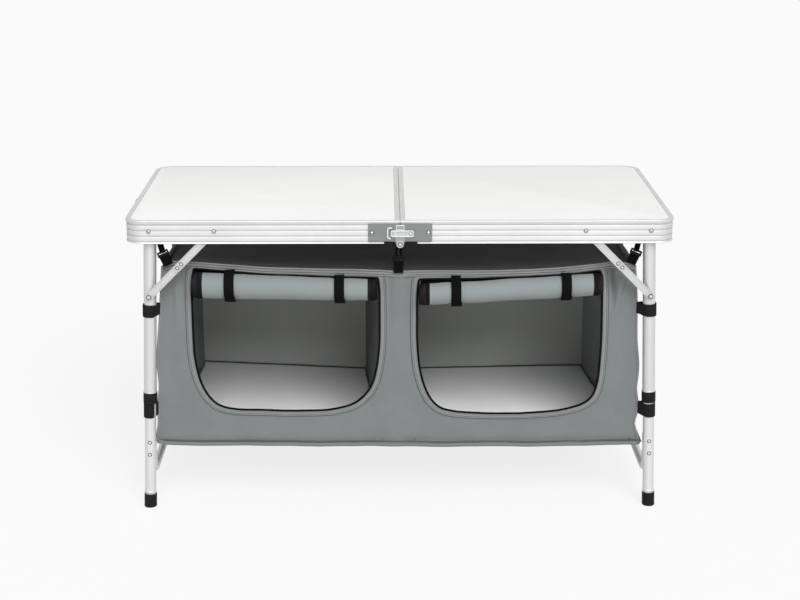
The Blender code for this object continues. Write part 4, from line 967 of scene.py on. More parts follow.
# The panel is a fan of rings between its opening and its outer edge, closer together near both.
openings = {label: closed_curve(points, 10) for label, points in opening_points.items()}
cloth_thick = 0.0013
panel_high, panel_low = 0.5675, 0.145
ring_shares = (
    0.0, 0.012, 0.035, 0.06, 0.085, 0.11, 0.135, 0.16, 0.185, 0.21, 0.24, 0.27, 0.30, 0.34, 0.39, 0.44, 0.50,
    0.56, 0.62, 0.68, 0.74, 0.80, 0.86, 0.91, 0.95, 0.98, 1.0)
for label, side in SIDES.items():
    top_end = min(0.526, at(side_lines[label], 0.5640))
    top_edge = [(side * top_end * i / 60, at(top_line, side * top_end * i / 60) - 0.0006) for i in range(61)]
    heights = [panel_high - (panel_high - panel_low) * i / 60 for i in range(1, 61)]
    outer = top_edge + [(side * at(side_lines[label], z), z) for z in heights] + [(0.0, panel_low)]
    centre = Vector((side * 0.25, 0.385))
    turns = [2 * math.pi * i / 300 for i in range(300)]
    turns += [math.atan2(z - centre.y, x - centre.x) % (2 * math.pi) for x, z in (
        outer[0], outer[60], outer[120], outer[121])]
    turns = sorted(set(round(turn, 6) for turn in turns))
    spans = [(reach_of(openings[label], centre, turn), reach_of(outer, centre, turn), turn) for turn in turns]
    rings = []
    for back, shares in ((0.0, ring_shares), (cloth_thick, reversed(ring_shares))):
        for share in shares:
            ring = []
            for near, far, turn in spans:
                away = near + (far - near) * share
                x, z = centre.x + math.cos(turn) * away, centre.y + math.sin(turn) * away
                ring.append((x, front_y(x, z) + back, z))
            rings.append(ring)
    bm = bmesh.new()
    add_skin(bm, rings, path_closed=True)
    bag_piece(f"{label}_bag_front", bm, bag_grey, label, [f"{label}_bag"])


# Round each opening a facing of the same cloth is sewn down with two rows of stitches, and inside it runs the
# black coil zip that the rolled-up door has been opened along. The facing is drawn in a lighter copy of the
# cloth, as painted light.
thread_grey, place = new_finish("grey sewing thread")
dress(thread_grey, {"Base Color": speckle(place, 900).tint((0.030, 0.032, 0.032), (0.075, 0.078, 0.078)),
                    "Roughness": 0.7, "Sheen Weight": 0.2})
zip_black, place = new_finish("black coil zip")
dress(zip_black, {"Base Color": speckle(place, 600, 3).tint((0.0015, 0.0015, 0.0015), (0.005, 0.005, 0.005)),
                  "Specular IOR Level": 0.04, "Roughness": 0.38 + speckle(place, 800) * 0.3,
                  "Normal": relief(speckle(place, 1400, 2), 0.00005)})
# Across the facing and the zip, each point is (share of the width or distance inwards, height off the panel).
facing_section = (
    (0.05, 0.0), (0.09, 0.0016), (0.16, 0.0026), (0.24, 0.0022), (0.30, 0.0010), (0.36, 0.0010),
    (0.56, 0.0017), (0.64, 0.0014), (0.68, 0.0004), (0.72, 0.0014), (0.82, 0.0016), (0.89, 0.0013),
    (0.93, 0.0003), (0.97, 0.0012), (1.0, -0.0004))
stitch_rows = ((0.68, 0.00050), (0.93, 0.00085))


def zip_section(tooth):
    return ((0.0036 + tooth, -0.0004), (0.0031 + tooth, 0.0014 + tooth), (0.0012, 0.0016 + tooth),
            (0.0004, 0.0008), (-0.0016, 0.0007), (-0.0016, -0.0006), (0.0028, -0.0012))


quarter_turns = (0, 1.57, 3.14, 4.71)


def add_stitches(bm, path, length, gap, radius, lift):
    """A row of short threads along a path of points; lift is their direction out of the cloth."""
    lift = Vector(lift)
    line = even([tuple(p) for p in path], length + gap, closed=False)
    for one, two in zip(line, line[1:]):
        run = (two - one).normalized()
        start, end = one + run * gap / 2, two - run * gap / 2
        wide = run.cross(lift).normalized()
        rings = []
        for share, rise in ((0.0, -0.6), (0.25, 0.6), (0.75, 0.6), (1.0, -0.6)):
            middle = start.lerp(end, share) + lift * radius * rise
            rings.append([middle + wide * radius * math.cos(turn) + lift * radius * math.sin(turn)
                          for turn in quarter_turns])
        add_skin(bm, rings)


def edge_with_normals(outline, pitch, inwards):
    """Points an even pitch apart on a closed outline, each with its unit normal."""
    line = [tuple(p) for p in even(outline, pitch)]
    return [(Vector(a), Vector(b) - Vector(a)) for a, b in zip(line, inset_outline(line, inwards))]


def on_panel(spot, lift):
    x, z = spot
    return Vector((x, front_y(x, z) - lift, z))


for label, side in SIDES.items():
    rim = []
    for spot, out in edge_with_normals(openings[label], 0.004, -1.0):
        room = (at(top_line, spot.x) - 0.0118 - spot.y) / out.y if out.y > 0.05 else 1.0
        rim.append((spot, out, min(0.0120 + 0.0020 * abs(out.x), max(room, 0.0022))))
    bm = bmesh.new()
    add_skin(bm, [[on_panel(spot + out * share * width, lift) for share, lift in facing_section]
                  for spot, out, width in rim], path_closed=True)
    bag_piece(f"{label}_opening_facing", bm, trim_grey_painted_light, label)
    bm = bmesh.new()
    for share, thread in stitch_rows:
        line = [on_panel(spot + out * share * width, 0.0010) for spot, out, width in rim]
        add_stitches(bm, line + line[:1], 0.0032, 0.0005, thread, (0, -1, 0))
    bag_piece(f"{label}_facing_stitches", bm, thread_grey, label)
    rings = [[on_panel(spot + into * amount, lift) for amount, lift in zip_section(0.0006 * (i % 2))]
             for i, (spot, into) in enumerate(edge_with_normals(openings[label], 0.0016, 1.0))]
    bm = bmesh.new()
    add_skin(bm, rings, path_closed=True)
    bag_piece(f"{label}_coil_zip", bm, zip_black, label)


# The sides, back, top and bottom are cut from the same cloth. They hang a little slack, so the sides pull in
# between their corners and the top sags between the straps. Binding tape covers the top edge, a piping runs
# down each upright corner, and a stiff hem goes round the bottom.
def add_grid(bm, grid):
    """Faces over rows of vertices."""
    for one, two in zip(grid, grid[1:]):
        for j in range(len(one) - 1):
            bm.faces.new((one[j], one[j + 1], two[j + 1], two[j]))


def add_cloth(bm, rows, thickness):
    """A sheet over a grid of points, with its thickness on one side of them."""
    rows = [[Vector(p) for p in row] for row in rows]
    tall, wide = len(rows), len(rows[0])
    under = []
    for i in range(tall):
        line = []
        for j in range(wide):
            up = rows[min(i + 1, tall - 1)][j] - rows[max(i - 1, 0)][j]
            along = rows[i][min(j + 1, wide - 1)] - rows[i][max(j - 1, 0)]
            line.append(bm.verts.new(rows[i][j] + along.cross(up).normalized() * thickness))
        under.append(line)
    over = [[bm.verts.new(p) for p in row] for row in rows]
    add_grid(bm, over)
    add_grid(bm, under)
    rim = ([(0, j) for j in range(wide)] + [(i, wide - 1) for i in range(1, tall)]
           + [(tall - 1, j) for j in range(wide - 2, -1, -1)] + [(i, 0) for i in range(tall - 2, 0, -1)])
    for (a, b), (c, d) in zip(rim, rim[1:] + rim[:1]):
        bm.faces.new((over[a][b], over[c][d], under[c][d], under[a][b]))


def cloth_piece(name, rows, thickness, finish, label):
    """A sheet of its own over a grid of points."""
    bm = bmesh.new()
    add_cloth(bm, rows, thickness)
    return bag_piece(name, bm, finish, label)


def slack(x, y, z, size):
    """Gentle creases of a hanging cloth."""
    return size * (noise.noise((x * 6, y * 6, z * 5)) + 0.45 * noise.noise((x * 17 + 4, y * 17, z * 14))
                   + 0.12 * noise.noise((x * 60, y * 60, z * 50)))


def bow(share):
    """0 at both ends of the share and 1 half way."""
    return math.sin(math.pi * share)


def spread(one, two, count):
    return [one + (two - one) * i / count for i in range(count + 1)]


fold_radius = 0.006
wall_back = 0.249


def round_the_bag(label, side, height, lift=0.0, steps=40):
    """The line round the front, the outer side and the back at a height, from seam to seam."""
    wide = at(side_lines[label], height)
    inner = wide - fold_radius
    rise = fade_in(height, 0.143, 0.42)
    line = []
    for x in spread(0.0, inner, steps):
        line.append(Vector((side * x, front_y(side * x, height) - lift, height)))
    start = line[-1].y + fold_radius
    for a, b in arc((0, 0), fold_radius, -90, 0, 5)[1:]:
        line.append(Vector((side * (inner + lift + a), start + b, height)))
    for y in spread(start, wall_back, steps // 2)[1:-1]:
        pull = 0.0060 * bow((y + 0.255) / 0.51) + slack(wide, y, height, 0.0045)
        pull += 0.0045 * (soft(y, -0.235, 0.008) + soft(y, 0.235, 0.008)) * rise ** 3
        line.append(Vector((side * (wide + lift - pull), y, height)))
    for a, b in arc((0, 0), fold_radius, 0, 90, 5):
        line.append(Vector((side * (inner + lift + a), wall_back + b, height)))
    for x in spread(inner, 0.0, steps)[1:]:
        drawn = 0.0060 * (soft(x, 0.487, 0.007) * rise ** 3 + soft(x, 0.012, 0.006) * rise ** 2)
        drawn += 0.0030 * soft(x, 0.02 + 0.26 * (1 - rise), 0.012) * rise
        y = 0.2553 + lift + 0.004 * bow(rise) + slack(side * x, 0.25, height, 0.0055) - drawn
        line.append(Vector((side * x, y, height)))
    return line


def strip(width, thickness, low=0.0):
    """The section of a flat strip with rounded edges, whose inner face stands low above the path."""
    half, edge = width / 2, min(thickness, width) * 0.45
    right = [(half - edge * 0.3, low), (half, low + thickness * 0.4),
             (half - edge * 0.25, low + thickness * 0.85), (half - edge, low + thickness)]
    left = [(-u, v) for u, v in reversed(right)]
    return left[3:] + right + left[:3]


# The top's cloth is the bag's grey drawn much darker, as painted shade for the shade under the table top.
cover_grey_painted_shade = grey_cloth("grey cover cloth darkened as painted shade", (0.060, 0.063, 0.059), (0.091, 0.096, 0.090), sheen=0.04)
# The top binding is drawn paler still, as painted light against the shade under the table top.
binding_grey_painted_light = grey_cloth("binding tape paled as painted light", (0.172, 0.183, 0.180), (0.250, 0.264, 0.260),
                          0.0008, 0.12)
hem_grey = grey_cloth("grey hem tape", (0.112, 0.121, 0.119), (0.166, 0.178, 0.175), 0.0009)
binding_section = [
    (-0.0066, -0.0012), (-0.0069, 0.0014), (-0.0063, 0.0031), (-0.0052, 0.0034), (-0.0044, 0.0024),
    (-0.0041, -0.0004), (-0.0026, -0.0004), (-0.0021, 0.0013), (0.0014, 0.0016), (0.0020, -0.0002),
    (0.0033, -0.0002), (0.0037, 0.0022), (0.0048, 0.0034), (0.0062, 0.0024), (0.0068, 0.0004),
    (0.0060, -0.0018), (-0.0056, -0.0018)]
hem_section = [
    (-0.0062, -0.0016), (-0.0065, 0.0012), (-0.0055, 0.0030), (-0.0028, 0.0035), (0.0004, 0.0032),
    (0.0020, 0.0020), (0.0024, -0.0006), (0.0046, -0.0006), (0.0050, 0.0008), (0.0060, 0.0002),
    (0.0056, -0.0014)]
piping_section = oval(0.0026, 0.0022, 10)
wall_high, wall_low, binding_z, hem_z = 0.5665, 0.145, 0.5640, 0.1475
cover_y, cover_thick = 0.2545, 0.0012
for label, side in SIDES.items():
    rows = []
    for share in spread(0.0, 1.0, 18):
        row = round_the_bag(label, side, wall_low + (wall_high - wall_low) * share)[41:]
        for spot in row:
            spot.z = wall_low + (at(top_line, spot.x) - 0.002 - wall_low) * share
        rows.append(row)
    cloth_piece(f"{label}_bag_walls", rows, -cloth_thick * side, bag_grey, label)

    # The top, in its darkened cloth of painted shade, sags between the straps.
    rows = []
    cover_end = min(0.5265, at(side_lines[label], 0.5560) - 0.0016)
    for i, y in enumerate(spread(-cover_y, cover_y, 36)):
        row = []
        for j in range(37):
            x = side * cover_end * j / 36
            sag = 0.0095 * bow(i / 36) ** 0.7 * (0.45 + 0.55 * bow(j / 36))
            creases = slack(x, y, 2.0, 0.0022) * bow(i / 36)
            row.append((x, y, at(top_line, x) - 0.0095 - 0.003 * soft(x, 0, 0.02) - sag + creases))
        rows.append(row)
    cloth_piece(f"{label}_bag_top", rows, cover_thick * side, cover_grey_painted_shade, label)

    rows = []
    for i, y in enumerate(spread(-cover_y, cover_y, 24)):
        rows.append([(side * 0.5515 * j / 28, y, 0.1455 - 0.004 * bow(i / 24) * bow(j / 28)
                      + slack(side * j / 50, y, 5.0, 0.0010)) for j in range(29)])
    cloth_piece(f"{label}_bag_bottom", rows, cover_thick * side, bag_grey, label)

    # The binding is drawn in its paler tape, as painted light.
    line = round_the_bag(label, side, binding_z, 0.0002, 60)
    sections = []
    for spot in line:
        dip = soft(spot.x, 0.0, 0.020)
        turned = fade_in(abs(spot.x), 0.512, 0.016) * fade_in(abs(spot.y), 0.20, 0.03)
        spot.z = at(top_line, spot.x) - 0.0064 - 0.0058 * dip
        narrow, thin = 1 - 0.45 * dip, side * (1 - 0.4 * dip - 0.85 * turned)
        sections.append([(u * narrow, v * thin) for u, v in binding_section])
    bm = bmesh.new()
    sweep(bm, line, sections, (0, 0, 1))
    bag_piece(f"{label}_top_binding", bm, binding_grey_painted_light, label, crease=40)

    line = round_the_bag(label, side, hem_z, 0.0002, 60)
    for spot in line:
        inner_share = 1 - min(abs(spot.x) / 0.54, 1) ** 4
        spot.z += 0.0010 * noise.noise((spot.x * 9, spot.y * 9, 0.3)) - 0.0034 * inner_share
        spot.z += 0.0046 * soft(spot.x, -0.553, 0.014) - 0.0018 * fade_in(spot.x, -0.12, 0.1)
    bm = bmesh.new()
    sweep(bm, line, [(u, v * side) for u, v in hem_section], (0, 0, 1))
    bag_piece(f"{label}_bottom_hem", bm, hem_grey, label, crease=50)

    # A dark strip of thread colour along the top of the hem is a painted shadow line. The same piece holds
    # the stitches under the top binding.
    bm = bmesh.new()
    hem_shadow_strip = [(u, v * side) for u, v in strip(0.0050, 0.0012, -0.0003)]
    sweep(bm, [spot + Vector((0, 0, 0.0048)) for spot in line], hem_shadow_strip, (0, 0, 1))
    line = round_the_bag(label, side, binding_z, 0.0022, 60)
    for spot in line:
        spot.z = at(top_line, spot.x) - 0.0098
    add_stitches(bm, line[4:62], 0.0030, 0.0014, 0.00030, (0, -1, 0))
    bag_piece(f"{label}_hem_shadow_and_stitches", bm, thread_grey, label)

    # The corner piping is drawn in the facing's lighter cloth, as painted light.
    bm = bmesh.new()
    for face in FACES.values():
        line = []
        for z in spread(0.152, 0.5620, 33):
            x = side * (at(side_lines[label], z) + 0.0002)
            y = front_y(x, z) - 0.0002 if face < 0 else 0.2555
            line.append((x + side * 0.0006 * math.sin(z * 60) * soft(z, 0.25, 0.05), y, z))
        sweep(bm, line, piping_section, (1, 0, 0))
    bag_piece(f"{label}_corner_piping", bm, trim_grey_painted_light, label, crease=50)


# Each compartment is lined with a darker cloth, drawn in copies of several greys that are painted light and
# shade. The back wall is pale with painted light, and the sides and partitions are darker greys of painted
# shade, the left compartment's darker than the right's. Its walls lean in a little towards the back, with
# sewn upright corners, and a board under silver-grey cloth lies on the bottom and keeps it square. The
# board's cloth is brightened with painted light, the right one's more.
back_lining_painted_light = grey_cloth("grey lining lightened as painted light", (0.350, 0.362, 0.343), (0.450, 0.465, 0.440))
side_lining_light_and_shade = {
    "left": grey_cloth("side lining darkened as painted shade", (0.155, 0.166, 0.164), (0.210, 0.224, 0.221), sheen=0.08),
    "right": grey_cloth("side lining with lighter painted shade", (0.205, 0.218, 0.214), (0.275, 0.290, 0.284), sheen=0.08)}
partition_painted_shade = {
    "left": grey_cloth("partition cloth darkened as painted shade", (0.068, 0.072, 0.070), (0.098, 0.104, 0.101), sheen=0.06),
    "right": grey_cloth("partition cloth with lighter painted shade", (0.112, 0.120, 0.116), (0.160, 0.170, 0.165), sheen=0.06)}
board_cloth_painted_light = {
    "left": grey_cloth("board cloth of silver-grey, lightened as painted light", (0.71, 0.71, 0.725), (0.84, 0.84, 0.856), sheen=0.15),
    "right": grey_cloth("board cloth of silver-grey, lightened more as painted light", (0.80, 0.80, 0.815), (0.93, 0.93, 0.946), sheen=0.15)}
board_rise = {"left": (0.0004, 0.0243), "right": (0.0045, 0.0081)}
# Distances out from the seam: the partition's front and back ends, then the side's back and front ends.
lining_plan = {"left": (0.040, 0.080, 0.495, 0.530), "right": (0.035, 0.050, 0.471, 0.526)}
lining_low, lining_front, lining_back, lining_corner = 0.149, -0.2515, 0.2485, 0.003
lining_thick, seam_radius = 0.0010, 0.0019
board_front, board_back, board_low = -0.2500, 0.2470, 0.1525
# The floor board's rounded edge, as (inset, height).
floor_edge = ((0.0030, -0.0040), (0.0006, -0.0034), (0.0, -0.0020), (0.0006, -0.0006), (0.0030, 0.0))


def board_top(label, out, y):
    """The height of a compartment's floor at a distance out from the seam."""
    inner, tilt = board_rise[label]
    return board_low + (inner + tilt * max(out, 0) / 0.5) * (y - board_front) / 0.50


def lining_line(label, slump):
    """The lining seen from above, as (out from the seam, y): the partition, the back and the outer side."""
    inner_front, inner_back, outer_back, outer_front = lining_plan[label]
    inner, outer = inner_back + lining_corner, outer_back - lining_corner
    line = [(inner_front + (inner_back - inner_front) * share + 0.003 * slump * bow(share),
             lining_front + 0.5 * share) for share in spread(0.0, 1.0, 14)]
    line += arc((inner, lining_back), lining_corner, 180, 90, 5)[1:]
    line += [(x, lining_back + lining_corner) for x in spread(inner, outer, 24)[1:]]
    line += arc((outer, lining_back), lining_corner, 90, 0, 5)[1:]
    line += [(outer_back + (outer_front - outer_back) * share, lining_back - 0.5 * share)
             for share in spread(0.0, 1.0, 14)[1:]]
    return line


for label, side in SIDES.items():
    rows = []
    for share in spread(0.0, 1.0, 14):
        row = []
        for x, y in lining_line(label, bow(share)):
            sag = 0.0125 * bow(min(x / 0.5265, 1)) * bow((y + cover_y) / (2 * cover_y)) ** 0.7
            lining_top = at(top_line, side * x) - max(0.0105 + sag, 0.0150) - 0.0040
            z = lining_low + (lining_top - lining_low) * share
            ripple = slack(side * x, y, z + 3, 0.0035)
            row.append((side * (x + ripple), y, z) if y < 0.24 else (side * x, y + ripple, z))
        rows.append(row)
    back, outer_side, partition = slice(16, 47), slice(46, None), slice(0, 17)
    # The back is drawn in the pale lining of painted light, and the side and the partition in the darker
    # copies of painted shade.
    for name, part, cloth in (("back_lining", back, back_lining_painted_light),
                              ("side_lining_light_and_shade", outer_side, side_lining_light_and_shade[label]),
                              ("partition", partition, partition_painted_shade[label])):
        cloth_piece(f"{label}_{name}", [row[part] for row in rows], lining_thick * side, cloth, label)
    bm = bmesh.new()
    for part, inwards in ((back, 0.0), (outer_side, side * 0.0012), (partition, side * 0.0012)):
        line = [(x - inwards, y - 0.0016, board_top(label, abs(x), y) + 0.0014) for x, y, _ in rows[0][part]]
        sweep(bm, line, oval(seam_radius, seam_radius, 8), (0, 0, 1))
    bag_piece(f"{label}_lining_seam", bm, thread_grey, label)

    inner_front, inner_back, outer_back, outer_front = lining_plan[label]
    rings = []
    for inset, level in floor_edge:
        corners = [Vector(corner) for corner in (
            (inner_front + 0.003 + inset, board_front + inset),
            (outer_front - 0.004 - inset, board_front + inset),
            (outer_back - 0.004 - inset, board_back - inset),
            (inner_back + 0.003 + inset, board_back - inset))]
        ring = []
        for one, two in zip(corners, corners[1:] + corners[:1]):
            ring += [one.lerp(two, share) for share in spread(0.0, 1.0, 24)[:-1]]
        rings.append([(side * x, y, board_top(label, x, y) + level) for x, y in ring])
    bm = bmesh.new()
    add_skin(bm, rings[:-1], capped=False)
    top = rings[-1]
    grid = []
    for i in range(25):
        left_end, right_end = Vector(top[(96 - i) % 96]), Vector(top[24 + i])
        row = [left_end.lerp(right_end, j / 24) for j in range(25)]
        if 0 < i < 24:
            for spot in row[1:-1]:
                spot.z += 0.0008 * bow(i / 24) + slack(spot.x, spot.y, 9, 0.0008)
        grid.append(row)
    add_cloth(bm, grid, 0.0006 * side)
    # The board's cloth is brightened as painted light, the right one's more.
    bag_piece(f"{label}_floor_board", bm, board_cloth_painted_light[label], label)


# Both doors are rolled up and hang in their openings. Each roll is a few turns of lined cloth with black mesh
# at either end, and is pinched by two loops of webbing that are sewn in under the top binding.
roll_grey = grey_cloth("light grey door cloth", (0.178, 0.196, 0.199), (0.228, 0.250, 0.253), sheen=0.12)
webbing, place = new_finish("black webbing")
x, y, z = axes_of(place)
twill = ((x + z + y) * 3600).math("SINE") * ((x - z) * 2600).math("SINE")
fuzz = speckle(place, 260, 4, 0.65)
shade = twill * 0.25 + fuzz * 0.75
dress(webbing, {"Base Color": shade.tint((0.0015, 0.0015, 0.0015), (0.0085, 0.0085, 0.0085)),
                "Roughness": 0.62 + fuzz * 0.2, "Specular IOR Level": 0.03, "Sheen Weight": 0.01,
                "Sheen Roughness": 0.4, "Normal": relief(twill * 0.5 + fuzz * 0.8, 0.00025)})
mesh_black, place = new_finish("black door mesh")
x, y, z = axes_of(place)
holes = (x * 4200).math("SINE") * ((y + z) * 3600).math("SINE") * 0.5 + 0.5
gathers = speckle(place, 130, 3, 0.6, (1, 0.12, 0.12)).ramp((0.45, 0), (0.72, 1))
shade = holes * 0.35 + gathers * 0.65
dress(mesh_black, {"Base Color": shade.tint((0.0025, 0.0022, 0.0024), (0.030, 0.027, 0.029)),
                   "Roughness": 0.7, "Specular IOR Level": 0.03,
                   "Normal": relief(holes * 0.4 + gathers * 1.4, 0.00035)})
# Each roll runs between two ends of (x, height, radius), and its outer turns are mesh at either end.
roll_runs = {"left": ((-0.4580, 0.5244, 0.0342), (-0.0500, 0.5118, 0.0274)),
             "right": ((0.0420, 0.5004, 0.0274), (0.4480, 0.5242, 0.0284))}
roll_turns = {"left": 2.75, "right": 2.95}
strap_places = {"left": (-0.1338, -0.3756), "right": (0.124, 0.3668)}
mesh_turns, web_thick = 1.25, 0.0017
roll_y, roll_core = -0.2658, 0.0100


def roll_at(label, x):
    """The middle height and the radius of a roll at x, pinched where the straps hold it."""
    (x0, z0, r0), (x1, z1, r1) = roll_runs[label]
    share = (x - x0) / (x1 - x0)
    radius = r0 + (r1 - r0) * share
    for strap in strap_places[label]:
        bulge = soft(x, strap - 0.030, 0.014) + soft(x, strap + 0.030, 0.014)
        radius *= 1 - 0.050 * soft(x, strap, 0.012) + 0.016 * bulge
    ends = max(1 - (x - x0) / 0.016, 1 - (x1 - x) / 0.016, 0.0)
    radius *= 1 - 0.13 * ends ** 2
    sag = 0.0008 * bow(share) + 0.0010 * noise.noise((x * 14, 2.0, 5.0))
    return z0 + (z1 - z0) * share - sag, radius


def add_scroll(bm, label, stations, first, last, swell=0.0):
    """The part of a roll's spiral sheet between two turns."""
    turns = roll_turns[label]
    outside, inside = [], []
    for x in stations:
        middle, radius = roll_at(label, x)
        rows = ([], [])
        for turn in spread(first, last, round((last - first) * 30)):
            angle = math.radians(35) - 2 * math.pi * (turns - turn)
            away = roll_core + (radius + swell - roll_core) * turn / turns
            away += 0.0006 * noise.noise((x * 30, turn * 2.2, 7.0)) * turn / turns
            thick = 0.0030 if turn < turns - 0.02 else 0.0012
            for row, distance in zip(rows, (away, away - thick)):
                row.append((x, roll_y + distance * math.cos(angle), middle + distance * math.sin(angle)))
        outside.append(rows[0])
        inside.append(rows[1])
    grids = [[[bm.verts.new(p) for p in row] for row in rows] for rows in (outside, inside)]
    for grid in grids:
        add_grid(bm, grid)
    for end in (0, -1):
        add_grid(bm, [grid[end] for grid in grids])
    for edge in (0, -1):
        add_grid(bm, [[row[edge] for row in grid] for grid in grids])


for label, side in SIDES.items():
    x0, x1 = roll_runs[label][0][0], roll_runs[label][1][0]
    turns = roll_turns[label]
    bm = bmesh.new()
    add_scroll(bm, label, spread(x0 + 0.022, x1 - 0.020, 70), 0.0, turns)
    for one, two in ((x0 + 0.002, x0 + 0.022), (x1 - 0.020, x1 - 0.001)):
        add_scroll(bm, label, spread(one, two, 5), 0.0, turns - mesh_turns)
    bag_piece(f"{label}_rolled_door", bm, roll_grey, label, [f"{label}_door_roll"])
    # Behind each roll a sheet in the black webbing's colour runs from under the top binding down to the roll.
    # It is painted shade for the dark gap between them.
    rows = []
    for share in spread(0.0, 1.0, 6):
        row = []
        for x in spread(x0 + 0.004, x1 - 0.004, 60):
            middle, radius = roll_at(label, x)
            top = at(top_line, x) - 0.0115
            y = -cover_y + (roll_y + radius * 0.55 + cover_y) * share
            row.append((x, y, top + (middle + radius * 0.6 - top) * share))
        rows.append(row)
    cloth_piece(f"{label}_door_flap_painted_shade", rows, 0.0010, webbing, label)
    bm = bmesh.new()
    for one, two in ((x0, x0 + 0.0235), (x1 - 0.0215, x1)):
        add_scroll(bm, label, spread(one, two, 8), turns - mesh_turns, turns, 0.0007)
    bag_piece(f"{label}_roll_mesh_ends", bm, mesh_black, label)
    for number, x in enumerate(strap_places[label], 1):
        middle, radius = roll_at(label, x)
        radius += 0.0009
        seam = max(at(top_line, x) - 0.0120, middle + radius * 0.8)
        loop = [(x, -0.2577, seam), (x, -0.2583, seam - 0.002)]
        loop += [(x, a, b) for a, b in arc((roll_y, middle), radius, 98, 398, 44)]
        loop += [(x, -0.2550, seam - 0.004), (x, -0.2546, seam)]
        low = middle - radius
        tail = [(x + 0.001, a, b) for a, b in arc((roll_y, middle), radius + 0.0018, 215, 262, 10)]
        tail += [(x + 0.0015, roll_y + 0.0005, low - 0.0030), (x + 0.0015, roll_y + 0.0020, low - 0.0058)]
        bm = bmesh.new()
        sweep(bm, loop, strip(0.022, web_thick), (1, 0, 0), path_closed=True)
        sweep(bm, tail, strip(0.0235, 0.0015), (1, 0, 0))
        bag_piece(f"{label}_roll_loop_{number}", bm, webbing, label, [f"{label}_roll_strap_{number}"],
                  crease=40)


# The bag hangs from six webbing straps, one behind each corner of the frame and one behind each end of the
# seam. Two strands run down to a moulded black buckle, and a folded tab of webbing joins the buckle to the
# bag.
hanger_y = 0.2596
# The (x, height) of each strap's top, of its buckle's neck and of the tab's foot.
hangers = {"left": ((-0.5420, 0.6660), (-0.5228, 0.5972), (-0.5095, 0.5668)),
           "right": ((0.5380, 0.6660), (0.5222, 0.5988), (0.5096, 0.5684)),
           "centre": ((-0.0020, 0.6225), (-0.0030, 0.5862), (-0.0034, 0.5480))}
buckle_bars = ((-0.0010, 0.0026, 0.0126, 0.0046), (0.0052, 0.0105, 0.0130, 0.0052))


def on_buckle(neck, down, points):
    """The (x, z) of points given as (across the buckle, below its neck)."""
    across = Vector((-down.y, down.x))
    return [tuple(neck + across * u + down * w) for u, w in points]


for label, ends in hangers.items():
    top, neck, foot = (Vector(end) for end in ends)
    down = foot - neck
    length = down.length
    down.normalize()
    body = "right" if label == "centre" else label
    apart, web = (0.0050, 0.0047) if label == "centre" else (0.0014, 0.0098)
    for where, face in FACES.items():
        strap = bmesh.new()
        for sign in (-1, 1):
            low = Vector(on_buckle(neck, down, [(sign * apart, 0.004)])[0])
            high = top + Vector((sign * apart * 0.8, 0.0))
            path = []
            for share in spread(0.0, 1.0, 10):
                spot = low.lerp(high, share)
                inwards = 0.0006 * math.sin(share * 9) + 0.0011 * sign + 0.0050 * share
                outwards = sign * 0.0006 * math.sin(share * 7)
                path.append((spot.x + outwards, face * (hanger_y - inwards), spot.y))
            sweep(strap, path, strip(web, web_thick, -0.0008), (1, 0.35 * sign, 0))
        near, far = hanger_y - 0.0008, hanger_y + 0.0040
        tab = [(-0.0114, 0.009), (0.0114, 0.009), (0.0110, length * 0.55), (0.0106, length),
               (-0.0106, length), (-0.0110, length * 0.55)]
        add_pressed(strap, on_buckle(neck, down, tab), face, near, far, 0.0008, (0.0021, 0.0005))
        rib_end = length - 0.0030
        for u in (-0.0050, 0.0, 0.0050):
            rib = [(u - 0.0011, 0.0115), (u + 0.0011, 0.0115), (u + 0.0010, rib_end), (u - 0.0010, rib_end)]
            add_pressed(strap, on_buckle(neck, down, rib), face, far - 0.0012, far + 0.0001)
        bag_piece(f"{label}_{where}_hanging_strap", strap, webbing, body, [f"{label}_{where}_hanger"],
                  crease=40)
        buckle = bmesh.new()
        for w0, w1, half, out in buckle_bars:
            near_x = half - 0.0012
            bar = [(-near_x, w0), (near_x, w0), (half, w0 + 0.0010), (half, w1 - 0.0010), (near_x, w1),
                   (-near_x, w1), (-half, w1 - 0.0010), (-half, w0 + 0.0010)]
            add_pressed(buckle, on_buckle(neck, down, bar), face, hanger_y - 0.0014, hanger_y + out, 0.0007,
                        (0.0010, 0.0003))
        for sign in (-1, 1):
            rail = oblong(sign * 0.0113 - 0.0014, 0.0005, sign * 0.0113 + 0.0014, 0.0095)
            add_pressed(buckle, on_buckle(neck, down, rail), face, hanger_y - 0.0012, hanger_y + 0.0040,
                        0.0005)
        bag_piece(f"{label}_{where}_strap_buckle", buckle, black_plastic, body, crease=40)


# Eight hook-and-loop straps tie the bag's upright corners to the legs, four to the upper tubes and four just
# below the ferrules. Each runs round the tube and back to the corner, where it is sewn in beside the piping.
hook_and_loop, place = new_finish("hook and loop strap")
fuzz = speckle(place, 320, 4, 0.7)
dress(hook_and_loop, {"Base Color": fuzz.tint((0.006, 0.006, 0.006), (0.020, 0.020, 0.019)),
                      "Roughness": 0.75 + fuzz * 0.15, "Specular IOR Level": 0.03, "Sheen Weight": 0.02,
                      "Sheen Roughness": 0.5, "Normal": relief(fuzz, 0.0004)})
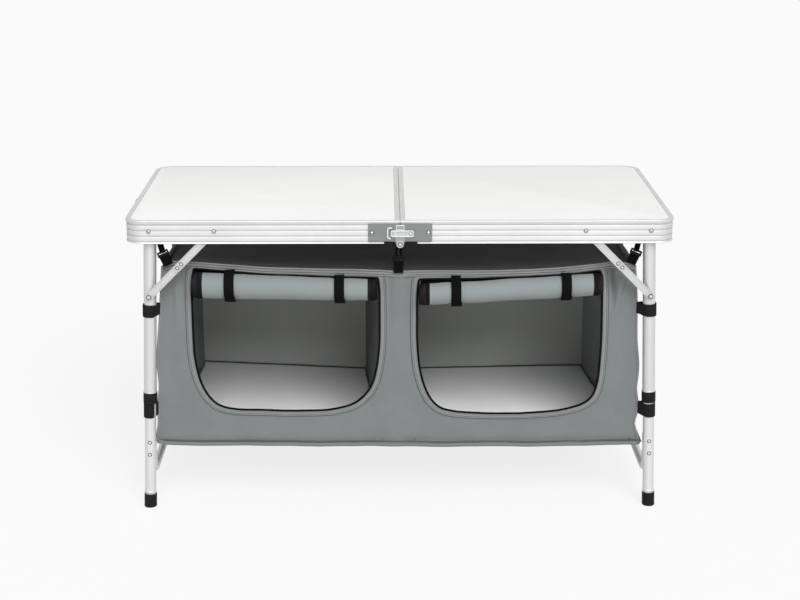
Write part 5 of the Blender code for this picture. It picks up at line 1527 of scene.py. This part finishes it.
# Each strap is (height, width, radius of its tube).
leg_straps = {"left": ((0.2330, 0.0330, lower_radius), (0.4665, 0.0280, upper_radius)),
              "right": ((0.2314, 0.0312, lower_radius), (0.4665, 0.0280, upper_radius))}
sewn_y = 0.2562
for label, side in SIDES.items():
    upwards = (-side * math.sin(splay), 0, math.cos(splay))
    for where, face in FACES.items():
        for number, (height, wide, radius) in enumerate(leg_straps[label], 1):
            up = leg_up(height)
            hold = radius + 0.0006
            sewn_x = side * (at(side_lines[label], height) + 0.0010)
            start = Vector((sewn_x, face * (sewn_y - 0.0008), height))
            end = Vector((sewn_x, face * (sewn_y + 0.0012), height))
            rim = []
            for angle in spread(-90, 118, 30):
                turn = math.radians(angle)
                spot = on_leg(side, up, face * (leg_y + hold * math.sin(turn)), hold * math.cos(turn))
                rim.append((spot, 1.0 + 0.03 * soft(angle, 0, 60)))
            path = [(start.lerp(rim[0][0], share), 0.90 + 0.08 * share) for share in (0.0, 0.25, 0.5, 0.75)]
            path += rim
            for share in (0.2, 0.4, 0.6, 0.8, 1.0):
                spot = rim[-1][0].lerp(end, share)
                spot.y += face * 0.0010 * bow(share)
                path.append((spot, 1.0 - 0.10 * share))
            sections = [[(u, v * side * face) for u, v in strip(wide * share, 0.0019)] for _, share in path]
            bm = bmesh.new()
            sweep(bm, [spot for spot, _ in path], sections, upwards, path_closed=True)
            patch = [(sewn_x + side * u, height + w)
                     for u, w in oblong(0.0, -wide * 0.44, 0.006, wide * 0.44)]
            add_pressed(bm, patch, face, sewn_y + 0.0010, sewn_y + 0.0036, 0.0004)
            piece(f"{label}_{where}_leg_strap_{number}", bm, hook_and_loop, f"{label}_legs",
                  [f"{label}_{where}_leg_loop_{number}"], crease=40)


# The bag's panels are cut flat from cloth, and a wall runs round the side and the back. Here the sewn pieces
# are looked up by name, with each half's front and rear hanging straps.
sewn = {made.name: made for made in bag_pieces}
for label in SIDES:
    straps = {where: [sewn[f"{end}_{where}_hanging_strap"] for end in (label, "centre")] for where in FACES}

    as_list(straps["front"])
    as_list(straps["rear"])

# The real bag collapses as the table is packed away; each of its pieces here gets a mesh of its own.
for soft_piece in bag_pieces:
    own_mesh(soft_piece)
